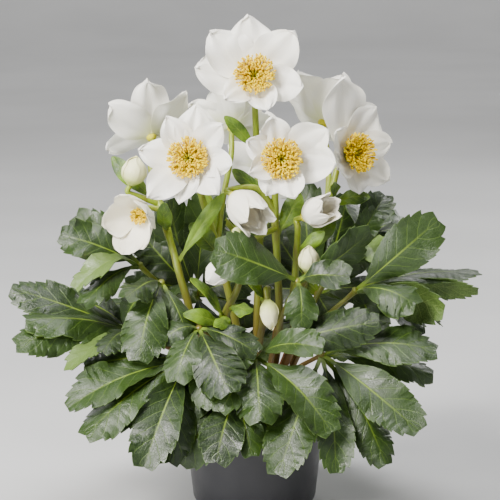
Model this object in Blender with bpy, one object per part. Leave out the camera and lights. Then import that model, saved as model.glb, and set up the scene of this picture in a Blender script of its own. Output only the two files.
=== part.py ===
"""A white-flowered hellebore in its grey pot: pot, soil, crown, leaves, flower stems, flowers and buds.

The part stands on the XY plane with the pot's axis on Z, and its front is towards -Y. Lengths in this
file are millimetres, and every mesh is written in metres.
"""

import math
from typing import NamedTuple

import bmesh
import bpy
import numpy as np
from mathutils import Vector
from mathutils.bvhtree import BVHTree

METRE = 0.001  # one millimetre in scene units
GAP = 0.3  # between neighbouring pieces

# Pot
POT_HEIGHT = 97.0
POT_RIM_RADIUS = 60.5
POT_FOOT_RADIUS = 50.5
POT_EDGE_ROUND = 12.0
POT_WALL = 2.0
POT_FLOOR = 3.0
POT_LIP = 1.6
POT_LIP_HEIGHT = 6.0
DRAIN_HOLES = 6
DRAIN_RADIUS = 4.0
DRAIN_RING_RADIUS = 26.0
POT_SIDES = 36

# Soil and crown
SOIL_TOP = 87.0
CROWN_RADIUS = 34.0
CROWN_TOP = 92.0
CROWN_CHAMFER = 2.5

# Stalks
STALK_SIDES = 5
PETIOLE_BASE = 2.9
PETIOLE_TOP = 1.9
STEM_BASE = 3.6
STEM_TOP = 2.5
PEDICEL_TIP = 2.1
HUB_RADIUS = 3.4

# Blades
BLADE_THICK = 1.7
BLADE_STATIONS = (0.0, 0.12, 0.34, 0.6, 0.83, 1.0)
BLADE_STALK = 0.12
BLADE_STALK_HALF = 1.6
BLADE_DROP = 0.22
SETTLE_LIFTS = (0, 5, -5, 10, -10, 15, -15, 21, -21, 28, -28, 36, -36, 45, -45)
SETTLE_ROLLS = (0, 16, -16, 32, -32)
SETTLE_SWINGS = (0, 5, -5, 10, -10, 15, -15, 21, -21, 28, -28)
LIFT_COST = 5.0
ROLL_COST = 10.0
CLEARANCE = 0.6

# Flowers
SEPAL_THICK = 1.3
NOTCH = 0.74
SHOULDER = 0.94
SEPAL_SHARES = (0.5, 1.0)
RECEPTACLE_RADIUS = 3.2
RECEPTACLE_DEPTH = 4.0

UP = np.array((0.0, 0.0, 1.0))


class Leaflet(NamedTuple):
    """One blade: where its tip is, how wide it is, and the compass and height that its top faces."""

    tip: tuple
    width: float
    face: tuple
    arch: float = 8.0


class Leaf(NamedTuple):
    """One grown leaf: the place on the crown, the hub that its leaflets spread from, and the leaflets."""

    root: float
    hub: tuple
    leaflets: tuple


class Flower(NamedTuple):
    """A ring of sepals: centre, the compass and height it faces, and (angle, reach, cup) of each sepal."""

    centre: tuple
    face: tuple
    sepals: tuple
    boss: float
    bowl: float = 1.0


class Bud(NamedTuple):
    """A closed bud from its base to its tip."""

    base: tuple
    tip: tuple
    radius: float


# The leaves that are seen from the front. The root is a compass angle on the crown, 0 towards -Y and
# 90 towards +X.
FRONT_LEAVES = {
    "leaf_left_middle": Leaf(
        -84,
        (-95, -40, 151),
        (
            Leaflet((-180, -75, 171), 37, (-20, 50)),
            Leaflet((-194, -42, 190), 34, (-10, 48)),
            Leaflet((-186, -88, 155), 31, (-20, 42)),
            Leaflet((-145, -100, 138), 24, (-30, 40)),
            Leaflet((-118, -98, 150), 20, (-20, 40)),
            Leaflet((-155, 8, 172), 30, (-60, 60)),
        ),
    ),
    "leaf_left_high": Leaf(
        -100,
        (-92, -24, 204),
        (
            Leaflet((-155, -35, 232), 31, (-20, 30)),
            Leaflet((-144, 2, 240), 28, (-30, 45)),
            Leaflet((-141, -60, 191), 22, (-20, 55), 16),
            Leaflet((-134, -74, 181), 22, (-15, 40)),
            Leaflet((-132, -24, 244), 24, (-20, 35)),
            Leaflet((-124, 38, 228), 28, (-70, 60)),
        ),
    ),
    "leaf_left_inner": Leaf(
        -66,
        (-74, -46, 194),
        (
            Leaflet((-90, -96, 140), 36, (-10, 32)),
            Leaflet((-84, -72, 166), 26, (4, 20)),
            Leaflet((-101, -84, 188), 24, (-10, 40)),
            Leaflet((-106, -44, 160), 30, (-30, 30)),
            Leaflet((-50, -78, 152), 22, (10, 20)),
        ),
    ),
    "leaf_front_left": Leaf(
        -46,
        (-53, -75, 137),
        (
            Leaflet((-146, -112, 110), 34, (-25, 35)),
            Leaflet((-131, -127, 90), 36, (-20, 32)),
            Leaflet((-85, -140, 68), 36, (-8, 28)),
            Leaflet((-66, -128, 68), 32, (4, 22)),
            Leaflet((-31, -112, 108), 28, (10, 40)),
            Leaflet((-118, -96, 84), 30, (-30, 25)),
            Leaflet((-134, -80, 134), 30, (-30, 40)),
        ),
    ),
    "leaf_front_low": Leaf(
        -14,
        (-14, -84, 113),
        (
            Leaflet((-60, -128, 76), 40, (-10, 30)),
            Leaflet((-30, -136, 72), 34, (0, 25)),
            Leaflet((-2, -128, 74), 26, (6, 25)),
            Leaflet((22, -118, 80), 26, (14, 30)),
            Leaflet((-64, -104, 104), 28, (-20, 45)),
        ),
    ),
    "leaf_centre_left": Leaf(
        -30,
        (-44, -70, 162),
        (
            Leaflet((-20, -128, 124), 38, (2, 35)),
            Leaflet((-62, -112, 130), 30, (-12, 35)),
            Leaflet((2, -98, 152), 24, (10, 45)),
            Leaflet((-72, -86, 160), 22, (-20, 45)),
        ),
    ),
    "leaf_centre": Leaf(
        2,
        (1, -76, 140),
        (
            Leaflet((4, -134, 103), 36, (0, 32)),
            Leaflet((60, -134, 95), 37, (8, 32)),
            Leaflet((97, -92, 172), 32, (15, 40)),
            Leaflet((52, -118, 158), 26, (10, 50)),
            Leaflet((-14, -104, 148), 18, (0, 40)),
            Leaflet((-28, -112, 100), 26, (-6, 30)),
        ),
    ),
    "leaf_front_right": Leaf(
        36,
        (53, -70, 141),
        (
            Leaflet((142, -92, 152), 36, (18, 45)),
            Leaflet((127, -126, 93), 38, (16, 32)),
            Leaflet((102, -118, 64), 30, (20, 25)),
            Leaflet((63, -134, 62), 29, (6, 25)),
            Leaflet((18, -140, 61), 38, (-6, 22)),
            Leaflet((143, -62, 124), 28, (40, 35)),
        ),
    ),
    "leaf_right_high": Leaf(
        54,
        (80, -48, 188),
        (
            Leaflet((144, -60, 247), 38, (24, 28)),
            Leaflet((126, -84, 186), 32, (15, 42)),
            Leaflet((152, -62, 176), 32, (150, 20)),
            Leaflet((180, -30, 200), 24, (40, 60)),
            Leaflet((178, -42, 186), 20, (160, 25)),
            Leaflet((168, 4, 182), 28, (60, 60)),
        ),
    ),
    "leaf_right_top": Leaf(
        72,
        (80, -12, 222),
        (
            Leaflet((106, 0, 258), 26, (10, 20)),
            Leaflet((98, -50, 213), 26, (15, 30)),
            Leaflet((98, -24, 250), 20, (20, 30), 14),
            Leaflet((138, 44, 228), 30, (60, 50)),
            Leaflet((146, 8, 224), 30, (50, 50)),
            Leaflet((84, 44, 246), 26, (120, 50)),
        ),
    ),
    "leaf_centre_high": Leaf(
        18,
        (34, -66, 199),
        (
            Leaflet((-31, -88, 230), 40, (0, 28)),
            Leaflet((90, -46, 234), 28, (14, 20)),
            Leaflet((74, -84, 205), 26, (12, 35)),
            Leaflet((36, -94, 168), 26, (8, 35)),
        ),
    ),
    "leaf_inner_left": Leaf(
        -116,
        (-48, 20, 172),
        (
            Leaflet((-94, 22, 224), 34, (0, 20)),
            Leaflet((-70, 24, 250), 34, (0, 10)),
            Leaflet((-36, 28, 260), 34, (10, 10)),
            Leaflet((-10, 32, 218), 30, (20, 20)),
            Leaflet((0, 24, 186), 30, (15, 25)),
            Leaflet((-106, 12, 182), 30, (-20, 40)),
            Leaflet((-62, -34, 176), 26, (-10, 50)),
            Leaflet((2, 14, 154), 30, (10, 30)),
            Leaflet((-34, -4, 136), 26, (0, 35)),
        ),
    ),
    "leaf_inner_right": Leaf(
        100,
        (52, 22, 172),
        (
            Leaflet((98, 24, 226), 34, (0, 20)),
            Leaflet((76, 22, 252), 34, (0, 10)),
            Leaflet((42, 34, 262), 34, (-10, 10)),
            Leaflet((14, 34, 226), 30, (-20, 20)),
            Leaflet((8, 30, 194), 30, (-15, 25)),
            Leaflet((112, 10, 176), 30, (20, 40)),
            Leaflet((66, -28, 160), 28, (10, 50)),
            Leaflet((-2, 26, 172), 30, (-10, 30)),
            Leaflet((44, -2, 132), 26, (0, 35)),
        ),
    ),
}


class Fan(NamedTuple):
    """A leaf whose leaflets spread evenly: compass, root, hub reach and height, blade length, drop, count."""

    compass: float
    root: float
    reach: float
    height: float
    length: float
    drop: float
    count: int


# The leaves of the back and the inside, which the front hides
BACK_FANS = {
    "leaf_right_back": Fan(112, 118, 88, 168, 82, 26, 6),
    "leaf_back_right": Fan(148, 136, 90, 134, 84, 38, 7),
    "leaf_back_right_high": Fan(150, 154, 74, 212, 80, 30, 7),
    "leaf_back_low": Fan(184, 172, 92, 122, 82, 42, 6),
    "leaf_back_left_high": Fan(210, 190, 76, 216, 80, 30, 7),
    "leaf_back_left": Fan(220, 208, 92, 140, 84, 38, 7),
    "leaf_left_back": Fan(250, 226, 86, 164, 84, 26, 6),
}
FAN_HALF_SPREAD = 96.0
FAN_SIDE_SHORTER = 0.22
FAN_WIDTH = 0.44

# Rings of sepals as (angle seen from the front, reach across the flower's face, cup in degrees)
FLOWERS = {
    "flower_top": Flower(
        (0, -8, 352),
        (0, 22),
        ((96, 50, 14), (49, 47, 18), (345, 39, 22), (289, 32, 36), (224, 32, 24), (172, 47, 16),
         (134, 50, 18)),
        15.5,
    ),
    "flower_left": Flower(
        (-51, -48, 293),
        (-8, 14),
        ((119, 37, 18), (84, 43, 12), (43, 38, 20), (352, 36, 16), (312, 38, 20), (262, 36, 22),
         (228, 43, 18), (172, 39, 20)),
        15.5,
    ),
    "flower_right": Flower(
        (20, -58, 294),
        (6, 12),
        ((103, 33, 20), (32, 42, 14), (354, 42, 18), (286, 32, 24), (246, 30, 20), (203, 28, 24),
         (152, 30, 22)),
        15.5,
    ),
    "flower_far_right": Flower(
        (74, -14, 292),
        (38, 12),
        ((96, 60, 8), (52, 44, 14), (8, 36, 16), (320, 38, 20), (262, 32, 24), (200, 34, 36), (150, 34, 40)),
        15.0,
    ),
    "flower_back_left": Flower(
        (-84, 22, 302),
        (205, 42),
        ((30, 42, 24), (80, 44, 22), (130, 42, 26), (190, 40, 24), (250, 38, 28), (310, 40, 26)),
        14.0,
    ),
    "flower_back_centre": Flower(
        (-18, 32, 308),
        (176, 38),
        ((20, 38, 26), (75, 40, 24), (130, 36, 26), (190, 36, 26), (250, 38, 28), (312, 38, 24)),
        14.0,
    ),
    "flower_back_right": Flower(
        (56, 34, 312),
        (152, 34),
        ((10, 40, 24), (62, 42, 22), (118, 40, 26), (178, 38, 24), (238, 38, 26), (300, 40, 24)),
        14.0,
    ),
    "flower_back_low": Flower(
        (10, 92, 268),
        (178, 16),
        ((90, 42, 16), (38, 40, 18), (346, 38, 20), (288, 38, 20), (236, 39, 22), (184, 38, 18),
         (140, 41, 16)),
        15.0,
    ),
    "cup_left": Flower(
        (-88, -30, 248),
        (-28, -12),
        ((100, 28, 42), (28, 27, 46), (316, 27, 48), (258, 30, 42), (186, 27, 44)),
        9.0,
        0.8,
    ),
    "cup_centre": Flower(
        (-16, -60, 265),
        (34, -24),
        ((90, 21, 60), (18, 20, 62), (306, 21, 60), (234, 21, 60), (162, 20, 62)),
        8.0,
        0.5,
    ),
    "cup_right": Flower(
        (40, -56, 249),
        (44, 22),
        ((90, 16, 62), (18, 16, 62), (306, 17, 60), (234, 16, 60), (162, 16, 62)),
        6.5,
        0.5,
    ),
    "cup_low": Flower(
        (-20, -66, 211),
        (-60, -24),
        ((90, 10, 66), (18, 10, 64), (306, 11, 62), (234, 11, 64), (162, 10, 66)),
        0.0,
        0.55,
    ),
}

BUDS = {
    "bud_left": Bud((-99, -24, 269), (-92, -25, 292), 11.0),
    "bud_low": Bud((10, -78, 187), (13, -82, 163), 8.0),
    "bud_right": Bud((41, -60, 205), (44, -64, 227), 9.0),
    "bud_green": Bud((-8, -62, 233), (-17, -68, 241), 6.0),
    "bud_back": Bud((-50, 66, 262), (-58, 76, 284), 10.0),
}


class Bract(NamedTuple):
    """A small leaf on a stem: where it starts, where it ends, its width and its face."""

    base: tuple
    tip: tuple
    width: float
    face: tuple
    arch: float = 4.0


class Stem(NamedTuple):
    """A flower stem: its root, its own line, its side stalks as (start, line, head) and its bracts."""

    root: tuple
    line: tuple
    head: str
    sides: tuple
    bracts: tuple


STEMS = {
    "stem_left": Stem(
        (-100, 15),
        ((-44, -32, 150), (-57, -38, 190), (-64, -34, 215), (-76, -14, 252), (-84, 8, 280)),
        "flower_back_left",
        (
            ((-70, -26, 232), ((-72, -20, 246),), "cup_left"),
            ((-76, -14, 252), ((-90, -18, 258),), "bud_left"),
        ),
        (
            Bract((-62, -36, 207), (-24, -46, 266), 11, (10, 15)),
            Bract((-70, -25, 232), (-72, -56, 256), 12, (-10, 25)),
            Bract((-76, -14, 252), (-116, -8, 290), 13, (-20, 30)),
        ),
    ),
    "stem_centre_left": Stem(
        (-50, 7),
        ((-14, -16, 150), (-28, -20, 210), (-42, -18, 258), (-48, -30, 284)),
        "flower_left",
        (((-30, -20, 216), ((-26, 2, 250), (-19, 16, 286)), "flower_back_centre"),),
        (
            Bract((-32, -20, 220), (-40, 10, 262), 14, (150, 30)),
            Bract((-29, -20, 212), (-50, -36, 240), 15, (0, 25)),
        ),
    ),
    "stem_top": Stem(
        (40, 3),
        ((2, -4, 150), (4, 2, 220), (2, 8, 290), (0, 6, 336)),
        "flower_top",
        (),
        (
            Bract((2, 8, 292), (22, -10, 320), 11, (20, 20)),
            Bract((4, 1, 214), (-12, -10, 252), 15, (-5, 20)),
            Bract((2, 8, 292), (-24, -4, 322), 10, (-20, 20)),
        ),
    ),
    "stem_centre_right": Stem(
        (75, 14),
        ((20, -22, 150), (18, -32, 210), (16, -38, 255), (18, -42, 282)),
        "flower_right",
        (
            ((16, -38, 250), ((2, -48, 270),), "cup_centre"),
            ((17, -36, 236), ((6, -54, 234),), "bud_green"),
        ),
        (
            Bract((16, -38, 255), (-18, -52, 286), 10, (0, 20)),
            Bract((17, -35, 228), (36, -26, 264), 15, (10, 20)),
        ),
    ),
    "stem_right": Stem(
        (108, 19),
        ((34, -8, 150), (44, -14, 210), (58, -16, 250), (66, -6, 278)),
        "flower_far_right",
        (((58, -16, 248), ((60, 4, 274), (58, 18, 296)), "flower_back_right"),),
        (
            Bract((60, -14, 256), (64, -40, 272), 10, (20, 20)),
            Bract((45, -14, 213), (62, -30, 246), 15, (20, 25)),
            Bract((58, -16, 250), (92, -26, 262), 12, (20, 40)),
        ),
    ),
    "stem_right_low": Stem(
        (45, 21),
        ((30, -30, 140), (32, -36, 190), (34, -42, 225), (34, -50, 240)),
        "cup_right",
        (((32, -36, 184), ((36, -50, 190),), "bud_right"),),
        (
            Bract((32, -36, 186), (58, -62, 216), 10, (15, 30)),
            Bract((33, -40, 218), (56, -54, 236), 10, (20, 30)),
        ),
    ),
    "stem_low_left": Stem(
        (-45, 21),
        ((-24, -36, 130), (-24, -52, 165), (-14, -56, 190), (-10, -58, 206)),
        "cup_low",
        (),
        (
            Bract((-24, -50, 160), (-54, -74, 176), 12, (-10, 40)),
            Bract((-23, -53, 168), (-28, -88, 166), 12, (0, 40)),
            Bract((-20, -55, 176), (-2, -90, 178), 12, (0, 40)),
            Bract((-24, -52, 165), (-46, -84, 206), 9, (-5, 45)),
        ),
    ),
    "stem_low_centre": Stem(
        (0, 17),
        ((2, -30, 130), (8, -44, 170), (10, -60, 190), (10, -74, 194)),
        "bud_low",
        (),
        (Bract((8, -50, 180), (-6, -66, 200), 8, (0, 40)),),
    ),
    "stem_back": Stem(
        (180, 15),
        ((2, 30, 150), (4, 46, 200), (6, 62, 240), (9, 74, 258)),
        "flower_back_low",
        (
            ((4, 44, 194), ((-26, 54, 230),), "bud_back"),
        ),
        (
            Bract((4, 44, 194), (-22, 76, 228), 14, (200, 40)),
            Bract((5, 52, 216), (34, 84, 236), 14, (160, 40)),
        ),
    ),
}


def unit(vector):
    vector = np.asarray(vector, float)
    return vector / np.linalg.norm(vector)


def compass(degrees, height=0.0):
    """The unit direction at a compass angle, 0 towards -Y and 90 towards +X, and a height above level."""
    turn, rise = math.radians(degrees), math.radians(height)
    return np.array((math.sin(turn) * math.cos(rise), -math.cos(turn) * math.cos(rise), math.sin(rise)))


def turned_about(vector, axis, degrees):
    """The vector turned about a unit axis."""
    angle = math.radians(degrees)
    along = axis * np.dot(axis, vector)
    across = vector - along
    return along + across * math.cos(angle) + np.cross(axis, across) * math.sin(angle)


def clear_scene():
    for item in list(bpy.data.objects):
        bpy.data.objects.remove(item, do_unlink=True)


def material(name, colour, roughness):
    made = bpy.data.materials.get(name) or bpy.data.materials.new(name)
    made.use_nodes = True
    shader = made.node_tree.nodes["Principled BSDF"]
    shader.inputs["Base Color"].default_value = (*colour, 1.0)
    shader.inputs["Roughness"].default_value = roughness
    shader.inputs["Metallic"].default_value = 0.0
    return made


def finish_pot():
    return material("pot_plastic", (0.13, 0.13, 0.145), 0.45)


def finish_soil():
    return material("soil", (0.045, 0.03, 0.02), 0.9)


def finish_crown():
    return material("crown_bark", (0.09, 0.055, 0.03), 0.8)


def finish_leaf():
    return material("leaf", (0.035, 0.09, 0.03), 0.4)


def finish_stem():
    return material("stem", (0.2, 0.27, 0.05), 0.45)


def finish_sepal():
    return material("sepal", (0.86, 0.85, 0.8), 0.5)


def finish_stamens():
    return material("stamens", (0.8, 0.55, 0.05), 0.6)


def finish_bud():
    return material("bud", (0.8, 0.82, 0.66), 0.5)


def make_object(name, points, faces, finish, smooth=True):
    """An object from points in millimetres and faces, with its normals pointing out."""
    mesh = bpy.data.meshes.new(name)
    mesh.from_pydata([tuple(float(v) * METRE for v in p) for p in points], [], faces)
    work = bmesh.new()
    work.from_mesh(mesh)
    bmesh.ops.recalc_face_normals(work, faces=work.faces)
    work.to_mesh(mesh)
    work.free()
    if smooth:
        mesh.shade_smooth()
    made = bpy.data.objects.new(name, mesh)
    made.data.materials.append(finish)
    bpy.context.scene.collection.objects.link(made)
    return made


def turned(profile, sides):
    """Points and faces of a closed profile, given as (radius, height), turned about Z."""
    points, rows = [], []
    for radius, height in profile:
        if radius == 0:
            rows.append([len(points)] * sides)
            points.append((0.0, 0.0, height))
            continue
        rows.append(list(range(len(points), len(points) + sides)))
        for side in range(sides):
            angle = 2 * math.pi * side / sides
            points.append((radius * math.cos(angle), radius * math.sin(angle), height))
    faces = []
    for row, after in zip(rows, rows[1:]):
        for side in range(sides):
            following = (side + 1) % sides
            corners = (row[side], row[following], after[following], after[side])
            face = list(dict.fromkeys(corners))
            if len(face) > 2:
                faces.append(face)
    return points, faces


def smooth_line(points, per_span=3):
    """A smooth line through the given points."""
    points = [np.asarray(p, float) for p in points]
    padded = [2 * points[0] - points[1], *points, 2 * points[-1] - points[-2]]
    line = []
    for index in range(1, len(padded) - 2):
        before, start, end, after = padded[index - 1 : index + 3]
        for step in range(per_span):
            t = step / per_span
            line.append(
                0.5
                * (
                    2 * start
                    + (end - before) * t
                    + (2 * before - 5 * start + 4 * end - after) * t**2
                    + (3 * start - before - 3 * end + after) * t**3
                )
            )
    line.append(points[-1])
    return line


def tube(line, first_radius, last_radius, sides=STALK_SIDES, first=None, last=None):
    """Points and faces of a closed tapered tube along a line, with its ends square to first and last."""
    line = np.array(line)
    tangents = np.gradient(line, axis=0)
    if first is not None:
        tangents[0] = first
    if last is not None:
        tangents[-1] = last
    side = np.cross(tangents[0], (0.37, 0.91, 0.13))
    points, faces = [], []
    for index, (centre, tangent) in enumerate(zip(line, tangents)):
        tangent = unit(tangent)
        side = unit(side - tangent * np.dot(side, tangent))
        other = np.cross(tangent, side)
        share = index / (len(line) - 1)
        radius = first_radius + (last_radius - first_radius) * share
        for step in range(sides):
            angle = 2 * math.pi * step / sides
            points.append(centre + radius * (math.cos(angle) * side + math.sin(angle) * other))
    for index in range(len(line) - 1):
        start = index * sides
        for step in range(sides):
            following = (step + 1) % sides
            faces.append((start + step, start + following, start + sides + following, start + sides + step))
    faces.append(tuple(range(sides))[::-1])
    faces.append(tuple(range(len(points) - sides, len(points))))
    return points, faces


def ball(centre, radius):
    """Points and faces of a small round knot."""
    rows = ((0.0, -1.0), (0.8, -0.6), (0.95, 0.3), (0.0, 1.0))
    points, faces = turned([(radius * r, radius * z) for r, z in rows], STALK_SIDES)
    return [np.asarray(p) + centre for p in points], faces


def blade_half_width(share, width):
    """Half the blade's width at a share of its length, widest a little past the middle."""
    if share <= BLADE_STALK:
        return BLADE_STALK_HALF
    along = (share - BLADE_STALK) / (1 - BLADE_STALK)
    swell = along**1.05 * (1 - along) ** 0.72
    peak = 0.593**1.05 * 0.407**0.72
    return max(width / 2 * swell / peak, BLADE_STALK_HALF * (1 - share))


def blade_frame(base, tip, face, arch, share):
    """Centre, side and normal of a blade at a share of its length."""
    chord = tip - base
    along = unit(chord)
    out = unit(face - along * np.dot(face, along))
    rise = math.sin(math.pi * share**0.85)
    slope = math.pi * 0.85 * max(share, 0.02) ** -0.15 * math.cos(math.pi * share**0.85)
    centre = base + chord * share + out * arch * rise
    tangent = unit(chord + out * arch * slope)
    side = unit(np.cross(tangent, out))
    return centre, side, np.cross(side, tangent)


def blade(base, tip, width, face, arch, grow=0.0):
    """Points and faces of a leaf blade: its cross-section is a flat arrowhead with thin margins."""
    base, tip = np.asarray(base, float), np.asarray(tip, float)
    start = base + unit(tip - base) * 0.8
    points, faces = [], []
    for share in BLADE_STATIONS[:-1]:
        centre, side, normal = blade_frame(start, tip, face, arch, share)
        half = blade_half_width(share, width) + grow
        deep = BLADE_THICK / 2 + grow
        sag = normal * BLADE_DROP * half if share > BLADE_STALK else normal * 0.0
        points += [centre - side * half - sag, centre + normal * deep]
        points += [centre + side * half - sag, centre - normal * deep]
    for index in range(len(BLADE_STATIONS) - 2):
        low = 4 * index
        for left, right in ((0, 1), (2, 1), (0, 3), (2, 3)):
            a, b, c, d = low + left, low + right, low + 4 + left, low + 4 + right
            faces += [(a, b, d), (a, d, c)]
    last = len(points) - 4
    points.append(tip)
    faces += [(last, last + 1, last + 4), (last + 1, last + 2, last + 4)]
    faces += [(last + 2, last + 3, last + 4), (last + 3, last, last + 4)]
    faces += [(0, 1, 3), (1, 2, 3)]
    return points, faces


def lifted(hub, leaflet, lift, roll):
    """Where a leaflet's tip and face are once it is lifted off its neighbours and rolled about its length."""
    hub, tip = np.asarray(hub, float), np.asarray(leaflet.tip, float)
    length = np.linalg.norm(tip - hub)
    along = unit(tip - hub)
    face = compass(*leaflet.face)
    out = unit(face - along * np.dot(face, along))
    moved = hub + unit(tip + out * lift - hub) * length
    along = unit(moved - hub)
    out = unit(out - along * np.dot(out, along))
    return moved, turned_about(out, along, roll)


def tree_of(points, faces):
    return BVHTree.FromPolygons([Vector(p) for p in points], [tuple(f) for f in faces])


def joined(name, shapes, finish):
    """One closed body from shapes that meet: the first takes in the others."""
    whole = make_object(name, *shapes[0], finish)
    for index, shape in enumerate(shapes[1:]):
        other = make_object(f"{name}_joined_{index}", *shape, finish)
        union = whole.modifiers.new("join", "BOOLEAN")
        union.operation = "UNION"
        union.solver = "EXACT"
        union.object = other
        bpy.context.view_layer.update()
        graph = bpy.context.evaluated_depsgraph_get()
        mesh = bpy.data.meshes.new_from_object(whole.evaluated_get(graph))
        whole.modifiers.clear()
        whole.data = mesh
        bpy.data.objects.remove(other, do_unlink=True)
    whole.data.name = name
    whole.data.shade_smooth()
    return whole


def pot_radius(height):
    """The outer radius of the pot's wall at a height above its foot."""
    share = (height - POT_EDGE_ROUND) / (POT_HEIGHT - POT_EDGE_ROUND)
    return POT_FOOT_RADIUS + (POT_RIM_RADIUS - POT_FOOT_RADIUS) * share


def edge_round(radius, centre_radius, centre_height, steps):
    """A quarter turn from straight down to straight out."""
    turn = []
    for step in range(steps + 1):
        angle = math.pi / 2 * step / steps
        turn.append((centre_radius + radius * math.sin(angle), centre_height - radius * math.cos(angle)))
    return turn


def build_pot():
    outer = edge_round(POT_EDGE_ROUND, POT_FOOT_RADIUS - POT_EDGE_ROUND, POT_EDGE_ROUND, 4)
    inner_round = POT_EDGE_ROUND - POT_WALL
    inner = edge_round(inner_round, POT_FOOT_RADIUS - POT_EDGE_ROUND, POT_FLOOR + inner_round, 2)
    lip_low = POT_HEIGHT - POT_LIP_HEIGHT
    profile = [
        (0, 0),
        *outer,
        (pot_radius(lip_low), lip_low),
        (pot_radius(lip_low) + POT_LIP, lip_low + POT_LIP),
        (POT_RIM_RADIUS + POT_LIP, POT_HEIGHT - POT_LIP / 2),
        (POT_RIM_RADIUS + POT_LIP / 2, POT_HEIGHT),
        (POT_RIM_RADIUS - POT_WALL, POT_HEIGHT),
        *inner[::-1],
        (0, POT_FLOOR),
    ]
    pot = make_object("pot", *turned(profile, POT_SIDES), finish_pot())
    for hole in range(DRAIN_HOLES):
        angle = 2 * math.pi * (hole + 0.5) / DRAIN_HOLES
        place = np.array((math.cos(angle), math.sin(angle), 0.0)) * DRAIN_RING_RADIUS
        line = [place + (0, 0, -2.0), place + (0, 0, POT_FLOOR + 2.0)]
        cutter = make_object(f"drain_{hole}", *tube(line, DRAIN_RADIUS, DRAIN_RADIUS, 8), finish_pot())
        cutter.hide_render = True
        cutter.display_type = "WIRE"
        cut = pot.modifiers.new(f"drain_{hole}", "BOOLEAN")
        cut.operation = "DIFFERENCE"
        cut.solver = "EXACT"
        cut.object = cutter
    pot.data.set_sharp_from_angle(angle=math.radians(35))


def soil_radius(height):
    return pot_radius(height) - POT_WALL - GAP - 0.35


def build_soil():
    round_radius = POT_EDGE_ROUND - POT_WALL
    low = POT_FLOOR + GAP + 0.2
    edge = edge_round(round_radius, soil_radius(POT_EDGE_ROUND) - round_radius, low + round_radius, 3)
    profile = [(0, low), *edge, (soil_radius(SOIL_TOP), SOIL_TOP), (0, SOIL_TOP)]
    make_object("soil", *turned(profile, POT_SIDES), finish_soil())


def build_crown():
    low = SOIL_TOP + GAP
    profile = [
        (0, low),
        (CROWN_RADIUS, low),
        (CROWN_RADIUS, CROWN_TOP - CROWN_CHAMFER),
        (CROWN_RADIUS - CROWN_CHAMFER, CROWN_TOP),
        (0, CROWN_TOP),
    ]
    make_object("crown", *turned(profile, 24), finish_crown())


def petiole(leaf_root, hub, swing, grow=0.0):
    """A leaf's stalk: from the crown straight up, then out in an arch to the hub, swung to one side."""
    root = compass(leaf_root) * (CROWN_RADIUS - 6.0)
    hub = np.asarray(hub, float)
    start = root + UP * (CROWN_TOP + GAP)
    across = hub[:2] - root[:2]
    middle = np.array((*(root[:2] + across * 0.42), 0.0))
    middle[:2] += unit((-across[1], across[0])) * swing
    middle[2] = max(start[2] + (hub[2] - start[2]) * 0.62, POT_HEIGHT + 14.0)
    line = smooth_line([start, start + UP * 8.0, middle, hub], 2)
    return tube(line, PETIOLE_BASE + grow, PETIOLE_TOP + grow, first=UP)


def fan_leaflets(fan, hub):
    """The leaflets of a leaf that spreads evenly about its own compass angle."""
    leaflets = []
    for index in range(fan.count):
        share = 2 * index / (fan.count - 1) - 1
        angle = fan.compass + FAN_HALF_SPREAD * share
        length = fan.length * (1 - FAN_SIDE_SHORTER * abs(share))
        drop = fan.drop * (1 - 0.5 * abs(share)) + 4 * (index % 2)
        reach = math.sqrt(length**2 - drop**2)
        tip = hub + compass(angle) * reach - UP * drop
        leaflets.append(Leaflet(tuple(tip), length * FAN_WIDTH, (angle, 52), 10.0))
    return tuple(leaflets)


def all_leaves():
    leaves = dict(FRONT_LEAVES)
    for name, fan in BACK_FANS.items():
        hub = compass(fan.compass) * fan.reach + UP * fan.height
        leaves[name] = Leaf(fan.root, tuple(hub), fan_leaflets(fan, hub))
    return leaves


def head_joint(head):
    """Where a flower's or bud's stalk ends, and the direction in which it comes in."""
    if head in FLOWERS:
        flower = FLOWERS[head]
        axis = compass(*flower.face)
        return np.asarray(flower.centre, float) - axis * (RECEPTACLE_DEPTH + GAP), axis
    bud = BUDS[head]
    axis = unit(np.subtract(bud.tip, bud.base))
    return np.asarray(bud.base, float) - axis * GAP, axis


def stem_shapes(stem):
    """The shapes of one flower stem: its own tube, its side stalks and its bracts."""
    angle, reach = stem.root
    start = compass(angle) * reach + UP * (CROWN_TOP + GAP)
    end, axis = head_joint(stem.head)
    points = [start, start + UP * 9.0, *stem.line, end - axis * 7.0, end]
    shapes = [tube(smooth_line(points, 2), STEM_BASE, PEDICEL_TIP, first=UP, last=axis)]
    for begin, line, head in stem.sides:
        end, axis = head_joint(head)
        points = [begin, *line, end - axis * 6.0, end]
        shapes.append(tube(smooth_line(points, 2), STEM_TOP, PEDICEL_TIP, last=axis))
    for bract in stem.bracts:
        face = compass(*bract.face)
        shapes.append(blade(bract.base, bract.tip, bract.width, face, bract.arch))
    return shapes


def flower_ring(flower):
    """Angle, reach and cup of points round the edge of a flower: notch, shoulder, tip and shoulder."""
    sepals = sorted((angle % 360, reach, cup) for angle, reach, cup in flower.sepals)
    ring = []
    for index, (angle, reach, cup) in enumerate(sepals):
        before = sepals[index - 1]
        after = sepals[(index + 1) % len(sepals)]
        to_before = (angle - before[0]) % 360 / 2
        to_after = (after[0] - angle) % 360 / 2
        notch = NOTCH * min(reach, before[1])
        ring.append((angle - to_before, notch, (cup + before[2]) / 2))
        ring.append((angle - to_before * 0.5, reach * SHOULDER, cup))
        ring.append((angle, reach, cup))
        ring.append((angle + to_after * 0.5, reach * SHOULDER, cup))
    return ring


def flower_frame(flower):
    """The flower's axis, and right and up on its face as its viewer sees them."""
    axis = compass(*flower.face)
    up = unit(UP - axis * np.dot(UP, axis))
    return axis, np.cross(up, axis), up


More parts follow.
